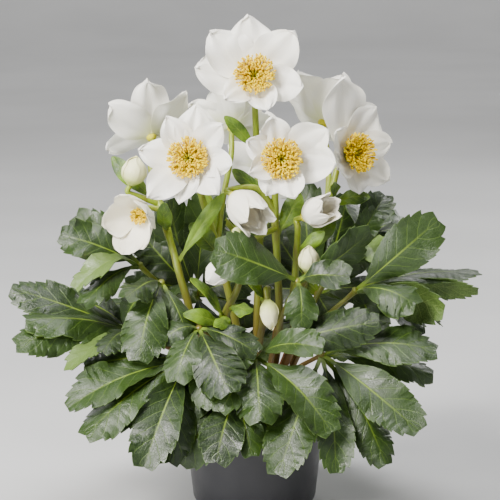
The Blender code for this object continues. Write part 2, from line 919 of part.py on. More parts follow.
def sepal_point(flower, frame, angle, reach, cup, share, depth):
    """A point of the sepals' surface at a share of the reach, depth below it."""
    axis, right, up = frame
    turn, rise = math.radians(angle), math.tan(math.radians(cup))
    out = right * math.cos(turn) + up * math.sin(turn)
    height = reach * rise * share**1.25
    slope = 1.25 * rise * share**0.25
    below = unit(out * slope - axis * flower.bowl * share ** (flower.bowl - 1))
    centre = np.asarray(flower.centre, float)
    return centre + out * reach * share**flower.bowl + axis * height + below * depth


def sepals_shape(flower):
    """Points and faces of the ring of sepals as one lobed dish, with the receptacle under its middle."""
    frame = flower_frame(flower)
    ring = flower_ring(flower)
    sides = len(ring)
    centre = np.asarray(flower.centre, float)
    points, rows = [centre], []
    middle, edge = SEPAL_SHARES
    for share, depth in ((middle, 0.0), (edge, 0.2), (middle, SEPAL_THICK)):
        rows.append(range(len(points), len(points) + sides))
        for angle, reach, cup in ring:
            points.append(sepal_point(flower, frame, angle, reach, cup, share, depth))
    axis, right, up = frame
    rows.append(range(len(points), len(points) + sides))
    foot = centre - axis * RECEPTACLE_DEPTH
    for angle, _, _ in ring:
        turn = math.radians(angle)
        points.append(foot + (right * math.cos(turn) + up * math.sin(turn)) * RECEPTACLE_RADIUS)
    faces = []
    for side in range(sides):
        following = (side + 1) % sides
        faces.append((0, rows[0][side], rows[0][following]))
        for row, after in zip(rows, rows[1:]):
            faces.append((row[side], after[side], after[following]))
            faces.append((row[side], after[following], row[following]))
    faces.append(tuple(rows[-1]))
    return points, faces


def boss_shape(flower):
    """Points and faces of the cushion of stamens that stands in the cup of the sepals."""
    axis, right, up = flower_frame(flower)
    steepest = max(cup for _, _, cup in flower.sepals)
    least = NOTCH * min(reach for _, reach, _ in flower.sepals)
    radius = flower.boss
    rise = math.tan(math.radians(steepest))
    shares = np.array((0.0, *SEPAL_SHARES))

    def floor(at):
        return np.interp(at, least * shares**flower.bowl, least * rise * shares**1.25) * 1.06 + GAP

    top = floor(radius) + radius * 0.3
    profile = [
        (0.0, GAP),
        (radius * 0.6, floor(radius * 0.6) + 0.9),
        (radius, floor(radius) + 1.4),
        (radius * 0.9, top + radius * 0.14),
        (radius * 0.45, top + radius * 0.3),
        (0.0, top + radius * 0.34),
    ]
    points, faces = turned(profile, 9)
    centre = np.asarray(flower.centre, float)
    return [centre + right * p[0] + up * p[1] + axis * p[2] for p in points], faces


def bud_shape(bud):
    """Points and faces of a closed bud, round at its base and drawn in at its tip."""
    base, tip = np.asarray(bud.base, float), np.asarray(bud.tip, float)
    length = np.linalg.norm(tip - base)
    axis = unit(tip - base)
    side = unit(np.cross(axis, (0.3, 0.8, 0.2)))
    other = np.cross(axis, side)
    shares = ((0.0, 0.0), (0.3, 0.0), (0.86, 0.22), (1.0, 0.48), (0.7, 0.82), (0.0, 1.0))
    points, faces = turned([(bud.radius * r, length * z) for r, z in shares], 9)
    return [base + side * p[0] + other * p[1] + axis * p[2] for p in points], faces


def first_clear(tries, shape_of, others):
    """The first try whose shape touches none of the others, or None."""
    for attempt in tries:
        grown = tree_of(*shape_of(attempt, CLEARANCE))
        if not any(grown.overlap(tree) for tree in others):
            return attempt
    return None


def settled_leaves(obstacles):
    """Every leaf's shapes, its stalk swung and its leaflets lifted or rolled as little as clears the rest."""
    leaves = all_leaves()
    trees = {name: [] for name in leaves}
    placed = {}
    for name, leaf in leaves.items():
        others = obstacles + [tree for other in trees.values() for tree in other]

        def stalk(swing, grow=0.0, leaf=leaf):
            return petiole(leaf.root, leaf.hub, swing, grow)

        swing = first_clear(SETTLE_SWINGS, stalk, others) or 0.0
        placed[name] = [ball(np.asarray(leaf.hub, float), HUB_RADIUS), stalk(swing)]
        trees[name] = [tree_of(*shape) for shape in placed[name]]
    tries = sorted(
        ((lift, roll) for lift in SETTLE_LIFTS for roll in SETTLE_ROLLS),
        key=lambda pair: abs(pair[0]) / LIFT_COST + abs(pair[1]) / ROLL_COST,
    )
    for name, leaf in leaves.items():
        for leaflet in leaf.leaflets:
            others = obstacles + [tree for other in trees if other != name for tree in trees[other]]

            def settled_blade(attempt, grow=0.0, leaf=leaf, leaflet=leaflet):
                tip, face = lifted(leaf.hub, leaflet, *attempt)
                return blade(leaf.hub, tip, leaflet.width, face, leaflet.arch, grow=grow)

            attempt = first_clear(tries, settled_blade, others)
            if attempt is not None:
                placed[name].append(settled_blade(attempt))
                trees[name].append(tree_of(*placed[name][-1]))
    return placed


def main():
    clear_scene()
    build_pot()
    build_soil()
    build_crown()
    obstacles = []
    for name, flower in FLOWERS.items():
        shape = sepals_shape(flower)
        make_object(f"{name}_sepals", *shape, finish_sepal())
        obstacles.append(tree_of(*shape))
        if flower.boss:
            shape = boss_shape(flower)
            make_object(f"{name}_stamens", *shape, finish_stamens())
            obstacles.append(tree_of(*shape))
    for name, bud in BUDS.items():
        shape = bud_shape(bud)
        make_object(name, *shape, finish_bud())
        obstacles.append(tree_of(*shape))
    for name, stem in STEMS.items():
        shapes = stem_shapes(stem)
        joined(name, shapes, finish_stem())
        obstacles += [tree_of(*shape) for shape in shapes]
    for name, shapes in settled_leaves(obstacles).items():
        joined(name, shapes, finish_leaf())


main()
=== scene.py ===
"""The looks of the potted hellebore: leaves, stems, flowers, buds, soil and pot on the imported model.

Lengths are millimetres, and every mesh is written in metres. Each piece stands for one node and rides on
the one body that the part has.
"""

import math
from typing import NamedTuple

import bmesh
import bpy
import numpy as np
from mathutils.kdtree import KDTree
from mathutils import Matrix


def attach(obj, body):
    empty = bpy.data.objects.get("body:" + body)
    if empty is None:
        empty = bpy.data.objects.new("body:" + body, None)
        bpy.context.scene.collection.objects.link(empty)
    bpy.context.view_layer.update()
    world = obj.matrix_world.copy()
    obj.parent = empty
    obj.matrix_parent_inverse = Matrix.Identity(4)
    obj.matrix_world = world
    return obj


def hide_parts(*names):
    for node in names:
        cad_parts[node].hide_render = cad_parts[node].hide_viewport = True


METRE = 0.001  # one millimetre in scene units
GAP = 0.3  # between neighbouring pieces
UP = np.array((0.0, 0.0, 1.0))

# Directions that nothing follows, to find a side from
HINT = (0.3, 0.8, 0.2)
TUBE_HINT = (0.37, 0.91, 0.13)
STAMEN_HINT = (0.31, 0.77, 0.21)

# Pot, soil and crown
POT_HEIGHT = 97.0
POT_RIM_RADIUS = 60.5
POT_FOOT_RADIUS = 50.5
POT_EDGE_ROUND = 12.0
POT_WALL = 2.0
POT_FLOOR = 3.0
POT_LIP = 1.6
POT_LIP_HEIGHT = 6.0
POT_SIDES = 160
DRAIN_HOLES = 6
DRAIN_RADIUS = 4.0
DRAIN_RING_RADIUS = 26.0
DRAIN_SIDES = 24
CAP_RADIUS = 2.0  # of the disc that closes the middle of the floor
SOIL_TOP = 87.0
SOIL_SIDES = 150
SOIL_RINGS = 46
SOIL_CHIPS = 620
GRIT_SHARE = 0.05
CROWN_RADIUS = 34.0
CROWN_TOP = 92.0
CROWN_SIDES = 110
CROWN_RINGS = 26

# Stalks
STALK_SIDES = 12
PETIOLE_BASE = 2.9
PETIOLE_TOP = 1.9
STEM_BASE = 3.6
STEM_TOP = 2.5
PEDICEL_TIP = 2.1
HUB_RADIUS = 3.2

# Blades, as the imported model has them
BLADE_STATIONS = (0.0, 0.12, 0.34, 0.6, 0.83)
BLADE_START = 0.8  # from the hub to where the blade begins
BLADE_STALK = 0.12
BLADE_STALK_HALF = 1.6
BLADE_DROP = 0.22
SETTLE_LIFTS = (0, 5, -5, 10, -10, 15, -15, 21, -21, 28, -28, 36, -36, 45, -45)
SETTLE_ROLLS = (0, 16, -16, 32, -32)
SETTLE_SWINGS = (0, 5, -5, 10, -10, 15, -15, 21, -21, 28, -28)
SETTLE_MISS = 3.0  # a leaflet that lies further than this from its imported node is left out

# Blades, as they look
LEAFLET_FULLER = 1.06
BRACT_FULLER = 1.1
TOOTH_PITCH = 6.4
TOOTH_DEPTH = 1.8
TEETH_FROM = 0.38
TEETH_OVER = 0.605
TOOTH_STEPS = ((0.1, 1.0, 0.0), (0.36, 0.42, 0.1), (0.62, 0.08, 0.3), (0.84, 0.0, 0.5))
BLADE_THICK = 0.6
BLADE_TWIST = 16.0  # degrees at the tip, either way
BLADE_BEND = 0.03  # sideways, as a share of the length
BLADE_FOLDS = (-0.22, 0.12, 0.3, 0.42)
BLADE_WAVES = (1.1, 2.4)
BLADE_WAVE_DEPTHS = (0.12, 0.33)
BLADE_FINE_WAVES = 3.1
BLADE_CURL = (-3.0, 7.0)
QUILT_DEPTH = 0.3
QUILT_WIDTH = 26.0  # of a blade that shows its quilting in full
RIB_GROOVE = 0.7
RIB_GROOVE_HALF = 1.5
RIB_THICK = 1.2
RIB_HALF = 1.1
STALK_THICK = 1.6
SIDE_VEINS = 8.0
VEIN_SLANT = 0.2
ACROSS = (-1.0, -0.86, -0.66, -0.45, -0.25, -0.09, 0.0, 0.09, 0.25, 0.45, 0.66, 0.86, 1.0)
# Leaflets with painted light: a pale lime-green that stands in for the light they catch
LEAFLETS_WITH_PAINTED_LIGHT = {
    ("leaf_left_middle", 3),
    ("leaf_left_high", 2),
    ("leaf_right_high", 2),
    ("leaf_right_top", 1),
}

# Flowers and buds
RECEPTACLE_RADIUS = 3.2
RECEPTACLE_DEPTH = 4.0
NOTCH = 0.74
SEPAL_SHARES = (0.5, 1.0)
SEPAL_THICK = 0.55
SEPAL_ROWS = 24
SEPAL_ACROSS = 19
SEPAL_SPREAD = 0.807
SEPAL_RIPPLE = 0.1
SEPAL_LAP = 0.08
SEPAL_WIDEST = 62.0  # degrees to each side
SEPAL_POINTS = (0.64, 0.86)  # from blunt to pointed
SEPAL_RAGGED = 0.03
SEPAL_LEAN = 7.0  # degrees, either way
SEPAL_REFLEX = (-1.5, 3.5)
SEPAL_KEEL = 0.8
SEPAL_PLEAT = 1.5
SEPAL_STEP = 0.9  # from one sepal up to the one that laps over it
FULL_RING = 6.8  # sepals that fill a ring at their usual width
CUP_HALF_ANGLE = 50.0
CUP_CLOSE = 0.7
CUP_BOSS = 0.72
CLOSED_LENGTH = 2.15
TIGHT_BOWL = 0.5
INNER_REACH = 0.74
BUD_SEPALS = 5
BUD_HALF_ANGLE = 58.0
STAMENS = 430
FULL_BOSS = 15.5
WIDE_OPEN = 0.8  # share of a full boss above which a flower shows all its parts
GOLDEN_ANGLE = 2.39996  # radians from one stamen to the next, which spreads them evenly
ANTHER_LONG = 1.45
OPEN_PISTILS = 7
CUP_PISTILS = 4
NECTARIES = 13

# Seeds, one series for each kind of piece
LEAF_SEED_STEP = 31
TONE_SEED = 7
STEM_SEED = 700
STEM_SEED_STEP = 13
SEPAL_SEED = 900
STAMEN_SEED = 1300
BUD_SEED = 1700
SOIL_SEED = 8

# Floor, lights and camera, in metres
FLOOR_RADIUS = 4.0
FLOOR_SWEEP = 1.5
FLOOR_TOP = 4.5
FLOOR_SIDES = 96
LIGHT_AIM = (0.0, 0.0, 0.22)
WHITE = (1.0, 1.0, 1.0)
# Each light's name, place, aim, size, power and colour
LIGHTS = (
    ("key", (-1.0, -1.2, 1.6), LIGHT_AIM, (0.7, 0.7), 92.0, (1.0, 0.975, 0.935)),
    ("top", (0.2, 0.2, 1.7), LIGHT_AIM, (0.9, 0.7), 26.0, WHITE),
    ("fill", (1.6, -1.2, 0.7), LIGHT_AIM, (1.1, 1.1), 4.0, (0.97, 0.985, 1.0)),
    ("back", (1.0, 1.5, 1.1), LIGHT_AIM, (0.9, 0.8), 16.0, WHITE),
    ("strip", (-1.4, -1.2, 0.4), (0.0, 0.0, 0.05), (0.22, 0.9), 30.0, WHITE),
    ("backdrop", (0.0, 2.6, 2.6), (0.0, 5.2, 0.9), (4.0, 1.0), 70.0, WHITE),
    ("back_left", (-1.3, 1.3, 1.0), LIGHT_AIM, (0.8, 0.8), 10.0, WHITE),
)
SKY_COLOUR = (0.82, 0.84, 0.86, 1.0)
SKY_STRENGTH = 0.14
CAMERA_PLACE = (-0.0036, -1.9696, 0.5595)
CAMERA_DOWN = 10.0
CAMERA_LENS = 177.8
CAMERA_SENSOR = 36.0

# Colours
FLOOR_DARK = (0.5, 0.5, 0.5)
FLOOR_LIGHT = (0.54, 0.54, 0.54)
LEAF_DARK = (0.005, 0.014, 0.002)
LEAF_MID = (0.018, 0.043, 0.003)
# also colours the painted highlight along the leaf margins
LEAF_LIGHT = (0.048, 0.09, 0.011)
LEAF_VEIN = (0.09, 0.16, 0.012)
LEAF_RIB = (0.2, 0.3, 0.02)
# painted light on the listed leaflets
LEAF_PAINTED_LIGHT = (0.14, 0.22, 0.05)
UNDER_DARK = (0.05, 0.095, 0.014)
UNDER_LIGHT = (0.085, 0.15, 0.024)
UNDER_VEIN = (0.18, 0.25, 0.06)
STALK_RED = (0.16, 0.06, 0.02)
STALK_OLIVE = (0.15, 0.18, 0.014)
STALK_LIME = (0.27, 0.36, 0.02)
BRACT_LIGHT = (0.16, 0.28, 0.012)
BRACT_DARK = (0.03, 0.07, 0.006)
SEPAL_WHITE = (0.95, 0.93, 0.86)
SEPAL_CREAM = (0.93, 0.88, 0.7)
SEPAL_SHADE = (0.84, 0.82, 0.73)
SEPAL_GREEN = (0.72, 0.74, 0.36)
BUD_CREAM = (0.9, 0.87, 0.52)
BUD_SHADE = (0.76, 0.78, 0.34)
BUD_GREEN = (0.46, 0.56, 0.1)
ANTHER_DARK = (0.76, 0.48, 0.0)
ANTHER_LIGHT = (0.97, 0.76, 0.0)
THREAD_DARK = (0.66, 0.42, 0.0)
THREAD_LIGHT = (0.86, 0.66, 0.02)
PISTIL_DARK = (0.42, 0.4, 0.01)
PISTIL_LIGHT = (0.72, 0.64, 0.04)
SOIL_DARK = (0.012, 0.008, 0.005)
SOIL_LIGHT = (0.075, 0.045, 0.025)
SOIL_GRIT = (0.5, 0.48, 0.44)
CROWN_DARK = (0.03, 0.018, 0.01)
CROWN_LIGHT = (0.16, 0.095, 0.045)
POT_DARK = (0.027, 0.027, 0.031)
POT_LIGHT = (0.037, 0.037, 0.042)
POT_SCUFF = (0.1, 0.1, 0.11)


class Leaflet(NamedTuple):
    """One blade: where its tip is, how wide it is, and the compass and height that its top faces."""

    tip: tuple
    width: float
    face: tuple
    arch: float = 8.0


class Leaf(NamedTuple):
    """One grown leaf: the place on the crown, the hub that its leaflets spread from, and the leaflets."""

    root: float
    hub: tuple
    leaflets: tuple


class Fan(NamedTuple):
    """A leaf whose leaflets spread evenly: compass, root, hub reach and height, blade length, drop, count."""

    compass: float
    root: float
    reach: float
    height: float
    length: float
    drop: float
    count: int


class Flower(NamedTuple):
    """A ring of sepals: centre, the compass and height it faces, and (angle, reach, cup) of each sepal."""

    centre: tuple
    face: tuple
    sepals: tuple
    boss: float
    bowl: float = 1.0


class Bud(NamedTuple):
    """A closed bud from its base to its tip."""

    base: tuple
    tip: tuple
    radius: float


class Bract(NamedTuple):
    """A small leaf on a stem: where it starts, where it ends, its width and its face."""

    base: tuple
    tip: tuple
    width: float
    face: tuple
    arch: float = 4.0


class Stem(NamedTuple):
    """A flower stem: its root, its own line, its side stalks as (start, line, head) and its bracts."""

    root: tuple
    line: tuple
    head: str
    sides: tuple
    bracts: tuple


def leaf_of(root, hub, *rows):
    """A leaf from rows of tip x, y and z, width, compass and height of the face, and arch where unusual."""
    return Leaf(root, hub, tuple(Leaflet(row[:3], row[3], row[4:6], *row[6:]) for row in rows))


# The leaves that are seen from the front: compass angle on the crown, 0 towards -Y and 90 towards +X,
# then the hub, then a row for each leaflet
FRONT_LEAVES = {
    "leaf_left_middle": leaf_of(
        -84,
        (-95, -40, 151),
        (-180, -75, 171, 37, -20, 50), (-194, -42, 190, 34, -10, 48), (-186, -88, 155, 31, -20, 42),
        (-145, -100, 138, 24, -30, 40), (-118, -98, 150, 20, -20, 40), (-155, 8, 172, 30, -60, 60),
    ),
    "leaf_left_high": leaf_of(
        -100,
        (-92, -24, 204),
        (-155, -35, 232, 31, -20, 30), (-144, 2, 240, 28, -30, 45), (-141, -60, 191, 22, -20, 55, 16),
        (-134, -74, 181, 22, -15, 40), (-132, -24, 244, 24, -20, 35), (-124, 38, 228, 28, -70, 60),
    ),
    "leaf_left_inner": leaf_of(
        -66,
        (-74, -46, 194),
        (-90, -96, 140, 36, -10, 32), (-84, -72, 166, 26, 4, 20), (-101, -84, 188, 24, -10, 40),
        (-106, -44, 160, 30, -30, 30), (-50, -78, 152, 22, 10, 20),
    ),
    "leaf_front_left": leaf_of(
        -46,
        (-53, -75, 137),
        (-146, -112, 110, 34, -25, 35), (-131, -127, 90, 36, -20, 32), (-85, -140, 68, 36, -8, 28),
        (-66, -128, 68, 32, 4, 22), (-31, -112, 108, 28, 10, 40), (-118, -96, 84, 30, -30, 25),
        (-134, -80, 134, 30, -30, 40),
    ),
    "leaf_front_low": leaf_of(
        -14,
        (-14, -84, 113),
        (-60, -128, 76, 40, -10, 30), (-30, -136, 72, 34, 0, 25), (-2, -128, 74, 26, 6, 25),
        (22, -118, 80, 26, 14, 30), (-64, -104, 104, 28, -20, 45),
    ),
    "leaf_centre_left": leaf_of(
        -30,
        (-44, -70, 162),
        (-20, -128, 124, 38, 2, 35), (-62, -112, 130, 30, -12, 35), (2, -98, 152, 24, 10, 45),
        (-72, -86, 160, 22, -20, 45),
    ),
    "leaf_centre": leaf_of(
        2,
        (1, -76, 140),
        (4, -134, 103, 36, 0, 32), (60, -134, 95, 37, 8, 32), (97, -92, 172, 32, 15, 40),
        (52, -118, 158, 26, 10, 50), (-14, -104, 148, 18, 0, 40), (-28, -112, 100, 26, -6, 30),
    ),
    "leaf_front_right": leaf_of(
        36,
        (53, -70, 141),
        (142, -92, 152, 36, 18, 45), (127, -126, 93, 38, 16, 32), (102, -118, 64, 30, 20, 25),
        (63, -134, 62, 29, 6, 25), (18, -140, 61, 38, -6, 22), (143, -62, 124, 28, 40, 35),
    ),
    "leaf_right_high": leaf_of(
        54,
        (80, -48, 188),
        (144, -60, 247, 38, 24, 28), (126, -84, 186, 32, 15, 42), (152, -62, 176, 32, 150, 20),
        (180, -30, 200, 24, 40, 60), (178, -42, 186, 20, 160, 25), (168, 4, 182, 28, 60, 60),
    ),
    "leaf_right_top": leaf_of(
        72,
        (80, -12, 222),
        (106, 0, 258, 26, 10, 20), (98, -50, 213, 26, 15, 30), (98, -24, 250, 20, 20, 30, 14),
        (138, 44, 228, 30, 60, 50), (146, 8, 224, 30, 50, 50), (84, 44, 246, 26, 120, 50),
    ),
    "leaf_centre_high": leaf_of(
        18,
        (34, -66, 199),
        (-31, -88, 230, 40, 0, 28), (90, -46, 234, 28, 14, 20), (74, -84, 205, 26, 12, 35),
        (36, -94, 168, 26, 8, 35),
    ),
    "leaf_inner_left": leaf_of(
        -116,
        (-48, 20, 172),
        (-94, 22, 224, 34, 0, 20), (-70, 24, 250, 34, 0, 10), (-36, 28, 260, 34, 10, 10),
        (-10, 32, 218, 30, 20, 20), (0, 24, 186, 30, 15, 25), (-106, 12, 182, 30, -20, 40),
        (-62, -34, 176, 26, -10, 50), (2, 14, 154, 30, 10, 30), (-34, -4, 136, 26, 0, 35),
    ),
    "leaf_inner_right": leaf_of(
        100,
        (52, 22, 172),
        (98, 24, 226, 34, 0, 20), (76, 22, 252, 34, 0, 10), (42, 34, 262, 34, -10, 10),
        (14, 34, 226, 30, -20, 20), (8, 30, 194, 30, -15, 25), (112, 10, 176, 30, 20, 40),
        (66, -28, 160, 28, 10, 50), (-2, 26, 172, 30, -10, 30), (44, -2, 132, 26, 0, 35),
    ),
}

# The leaves of the back, which the front hides
BACK_FANS = {
    "leaf_right_back": Fan(112, 118, 88, 168, 82, 26, 6),
    "leaf_back_right": Fan(148, 136, 90, 134, 84, 38, 7),
    "leaf_back_right_high": Fan(150, 154, 74, 212, 80, 30, 7),
    "leaf_back_low": Fan(184, 172, 92, 122, 82, 42, 6),
    "leaf_back_left_high": Fan(210, 190, 76, 216, 80, 30, 7),
    "leaf_back_left": Fan(220, 208, 92, 140, 84, 38, 7),
    "leaf_left_back": Fan(250, 226, 86, 164, 84, 26, 6),
}
FAN_HALF_SPREAD = 96.0
FAN_SIDE_SHORTER = 0.22
FAN_WIDTH = 0.44

# Rings of sepals as (angle seen from the front, reach across the flower's face, cup in degrees)
FLOWERS = {
    "flower_top": Flower(
        (0, -8, 352),
        (0, 22),
        ((96, 50, 14), (49, 47, 18), (345, 39, 22), (289, 32, 36), (224, 32, 24), (172, 47, 16),
         (134, 50, 18)),
        15.5,
    ),
    "flower_left": Flower(
        (-51, -48, 293),
        (-8, 14),
        ((119, 37, 18), (84, 43, 12), (43, 38, 20), (352, 36, 16), (312, 38, 20), (262, 36, 22),
         (228, 43, 18), (172, 39, 20)),
        15.5,
    ),
    "flower_right": Flower(
        (20, -58, 294),
        (6, 12),
        ((103, 33, 20), (32, 42, 14), (354, 42, 18), (286, 32, 24), (246, 30, 20), (203, 28, 24),
         (152, 30, 22)),
        15.5,
    ),
    "flower_far_right": Flower(
        (74, -14, 292),
        (38, 12),
        ((96, 60, 8), (52, 44, 14), (8, 36, 16), (320, 38, 20), (262, 32, 24), (200, 34, 36), (150, 34, 40)),
        15.0,
    ),
    "flower_back_left": Flower(
        (-84, 22, 302),
        (205, 42),
        ((30, 42, 24), (80, 44, 22), (130, 42, 26), (190, 40, 24), (250, 38, 28), (310, 40, 26)),
        14.0,
    ),
    "flower_back_centre": Flower(
        (-18, 32, 308),
        (176, 38),
        ((20, 38, 26), (75, 40, 24), (130, 36, 26), (190, 36, 26), (250, 38, 28), (312, 38, 24)),
        14.0,
    ),
    "flower_back_right": Flower(
        (56, 34, 312),
        (152, 34),
        ((10, 40, 24), (62, 42, 22), (118, 40, 26), (178, 38, 24), (238, 38, 26), (300, 40, 24)),
        14.0,
    ),
    "flower_back_low": Flower(
        (10, 92, 268),
        (178, 16),
        ((90, 42, 16), (38, 40, 18), (346, 38, 20), (288, 38, 20), (236, 39, 22), (184, 38, 18),
         (140, 41, 16)),
        15.0,
    ),
    "cup_left": Flower(
        (-88, -30, 248),
        (-28, -12),
        ((100, 28, 42), (28, 27, 46), (316, 27, 48), (258, 30, 42), (186, 27, 44)),
        9.0,
        0.8,
    ),
    "cup_centre": Flower(
        (-16, -60, 265),
        (34, -24),
        ((90, 21, 60), (18, 20, 62), (306, 21, 60), (234, 21, 60), (162, 20, 62)),
        8.0,
        0.5,
    ),
    "cup_right": Flower(
        (40, -56, 249),
        (44, 22),
        ((90, 16, 62), (18, 16, 62), (306, 17, 60), (234, 16, 60), (162, 16, 62)),
        6.5,
        0.5,
    ),
    "cup_low": Flower(
        (-20, -66, 211),
        (-60, -24),
        ((90, 10, 66), (18, 10, 64), (306, 11, 62), (234, 11, 64), (162, 10, 66)),
        0.0,
        0.55,
    ),
}

BUDS = {
    "bud_left": Bud((-99, -24, 269), (-92, -25, 292), 11.0),
    "bud_low": Bud((10, -78, 187), (13, -82, 163), 8.0),
    "bud_right": Bud((41, -60, 205), (44, -64, 227), 9.0),
    "bud_green": Bud((-8, -62, 233), (-17, -68, 241), 6.0),
    "bud_back": Bud((-50, 66, 262), (-58, 76, 284), 10.0),
}

STEMS = {
    "stem_left": Stem(
        (-100, 15),
        ((-44, -32, 150), (-57, -38, 190), (-64, -34, 215), (-76, -14, 252), (-84, 8, 280)),
        "flower_back_left",
        (
            ((-70, -26, 232), ((-72, -20, 246),), "cup_left"),
            ((-76, -14, 252), ((-90, -18, 258),), "bud_left"),
        ),
        (
            Bract((-62, -36, 207), (-24, -46, 266), 11, (10, 15)),
            Bract((-70, -25, 232), (-72, -56, 256), 12, (-10, 25)),
            Bract((-76, -14, 252), (-116, -8, 290), 13, (-20, 30)),
        ),
    ),
    "stem_centre_left": Stem(
        (-50, 7),
        ((-14, -16, 150), (-28, -20, 210), (-42, -18, 258), (-48, -30, 284)),
        "flower_left",
        (((-30, -20, 216), ((-26, 2, 250), (-19, 16, 286)), "flower_back_centre"),),
        (
            Bract((-32, -20, 220), (-40, 10, 262), 14, (150, 30)),
            Bract((-29, -20, 212), (-50, -36, 240), 15, (0, 25)),
        ),
    ),
    "stem_top": Stem(
        (40, 3),
        ((2, -4, 150), (4, 2, 220), (2, 8, 290), (0, 6, 336)),
        "flower_top",
        (),
        (
            Bract((2, 8, 292), (22, -10, 320), 11, (20, 20)),
            Bract((4, 1, 214), (-12, -10, 252), 15, (-5, 20)),
            Bract((2, 8, 292), (-24, -4, 322), 10, (-20, 20)),
        ),
    ),
    "stem_centre_right": Stem(
        (75, 14),
        ((20, -22, 150), (18, -32, 210), (16, -38, 255), (18, -42, 282)),
        "flower_right",
        (
            ((16, -38, 250), ((2, -48, 270),), "cup_centre"),
            ((17, -36, 236), ((6, -54, 234),), "bud_green"),
        ),
        (
            Bract((16, -38, 255), (-18, -52, 286), 10, (0, 20)),
            Bract((17, -35, 228), (36, -26, 264), 15, (10, 20)),
        ),
    ),
    "stem_right": Stem(
        (108, 19),
        ((34, -8, 150), (44, -14, 210), (58, -16, 250), (66, -6, 278)),
        "flower_far_right",
        (((58, -16, 248), ((60, 4, 274), (58, 18, 296)), "flower_back_right"),),
        (
            Bract((60, -14, 256), (64, -40, 272), 10, (20, 20)),
            Bract((45, -14, 213), (62, -30, 246), 15, (20, 25)),
            Bract((58, -16, 250), (92, -26, 262), 12, (20, 40)),
        ),
    ),
    "stem_right_low": Stem(
        (45, 21),
        ((30, -30, 140), (32, -36, 190), (34, -42, 225), (34, -50, 240)),
        "cup_right",
        (((32, -36, 184), ((36, -50, 190),), "bud_right"),),
        (
            Bract((32, -36, 186), (58, -62, 216), 10, (15, 30)),
            Bract((33, -40, 218), (56, -54, 236), 10, (20, 30)),
        ),
    ),
    "stem_low_left": Stem(
        (-45, 21),
        ((-24, -36, 130), (-24, -52, 165), (-14, -56, 190), (-10, -58, 206)),
        "cup_low",
        (),
        (
            Bract((-24, -50, 160), (-54, -74, 176), 12, (-10, 40)),
            Bract((-23, -53, 168), (-28, -88, 166), 12, (0, 40)),
            Bract((-20, -55, 176), (-2, -90, 178), 12, (0, 40)),
            Bract((-24, -52, 165), (-46, -84, 206), 9, (-5, 45)),
        ),
    ),
    "stem_low_centre": Stem(
        (0, 17),
        ((2, -30, 130), (8, -44, 170), (10, -60, 190), (10, -74, 194)),
        "bud_low",
        (),
        (Bract((8, -50, 180), (-6, -66, 200), 8, (0, 40)),),
    ),
    "stem_back": Stem(
        (180, 15),
        ((2, 30, 150), (4, 46, 200), (6, 62, 240), (9, 74, 258)),
        "flower_back_low",
        (
            ((4, 44, 194), ((-26, 54, 230),), "bud_back"),
        ),
        (
            Bract((4, 44, 194), (-22, 76, 228), 14, (200, 40)),
            Bract((5, 52, 216), (34, 84, 236), 14, (160, 40)),
        ),
    ),
}


def unit(vector):
    """The vector at a length of one."""
    vector = np.asarray(vector, float)
    return vector / np.linalg.norm(vector)


def units(vectors):
    """Each vector at a length of one."""
    return vectors / np.maximum(np.linalg.norm(vectors, axis=-1, keepdims=True), 1e-9)


def compass(degrees, height=0.0):
    """The unit direction at a compass angle, 0 towards -Y and 90 towards +X, and a height above level."""
    turn, rise = math.radians(degrees), math.radians(height)
    return np.array((math.sin(turn) * math.cos(rise), -math.cos(turn) * math.cos(rise), math.sin(rise)))


def turned_about(vectors, axis, degrees):
    """The vectors turned about unit axes."""
    angle = np.radians(degrees)
    along = axis * np.sum(axis * vectors, axis=-1, keepdims=True)
    across = vectors - along
    return along + across * np.cos(angle) + np.cross(axis, across) * np.sin(angle)


def smooth_step(low, high, value):
    """0 below low, 1 above high, and smooth between them."""
    share = np.clip((value - low) / (high - low), 0.0, 1.0)
    return share * share * (3 - 2 * share)


def axes_about(axis, hint=HINT):
    """Two directions square to an axis, and the axis."""
    side = unit(np.cross(axis, hint))
    return side, np.cross(axis, side), axis


def ring_faces(index):
    """The four-cornered faces that join rings of point numbers."""
    following = np.roll(index, -1, axis=1)
    quads = np.stack((index[:-1], following[:-1], following[1:], index[1:]), axis=-1)
    return quads.reshape(-1, 4).tolist()


def sheet_places(rings, across, shares):
    """The places of a sheet's points, whose rings run across its face and back along its underside."""
    places = np.zeros((*rings.shape[:2], 2))
    places[..., 0] = np.concatenate((across, across[::-1])) / 2 + 0.5
    places[..., 1] = shares[:, None]
    return places


def sheet_finish(columns):
    """0 along a sheet's face and 1 along its edges and underside."""
    return np.array([0] * (columns - 1) + [1] * (columns + 1))


def linked(name, data):
    """A new object in the scene."""
    made = bpy.data.objects.new(name, data)
    bpy.context.scene.collection.objects.link(made)
    return made


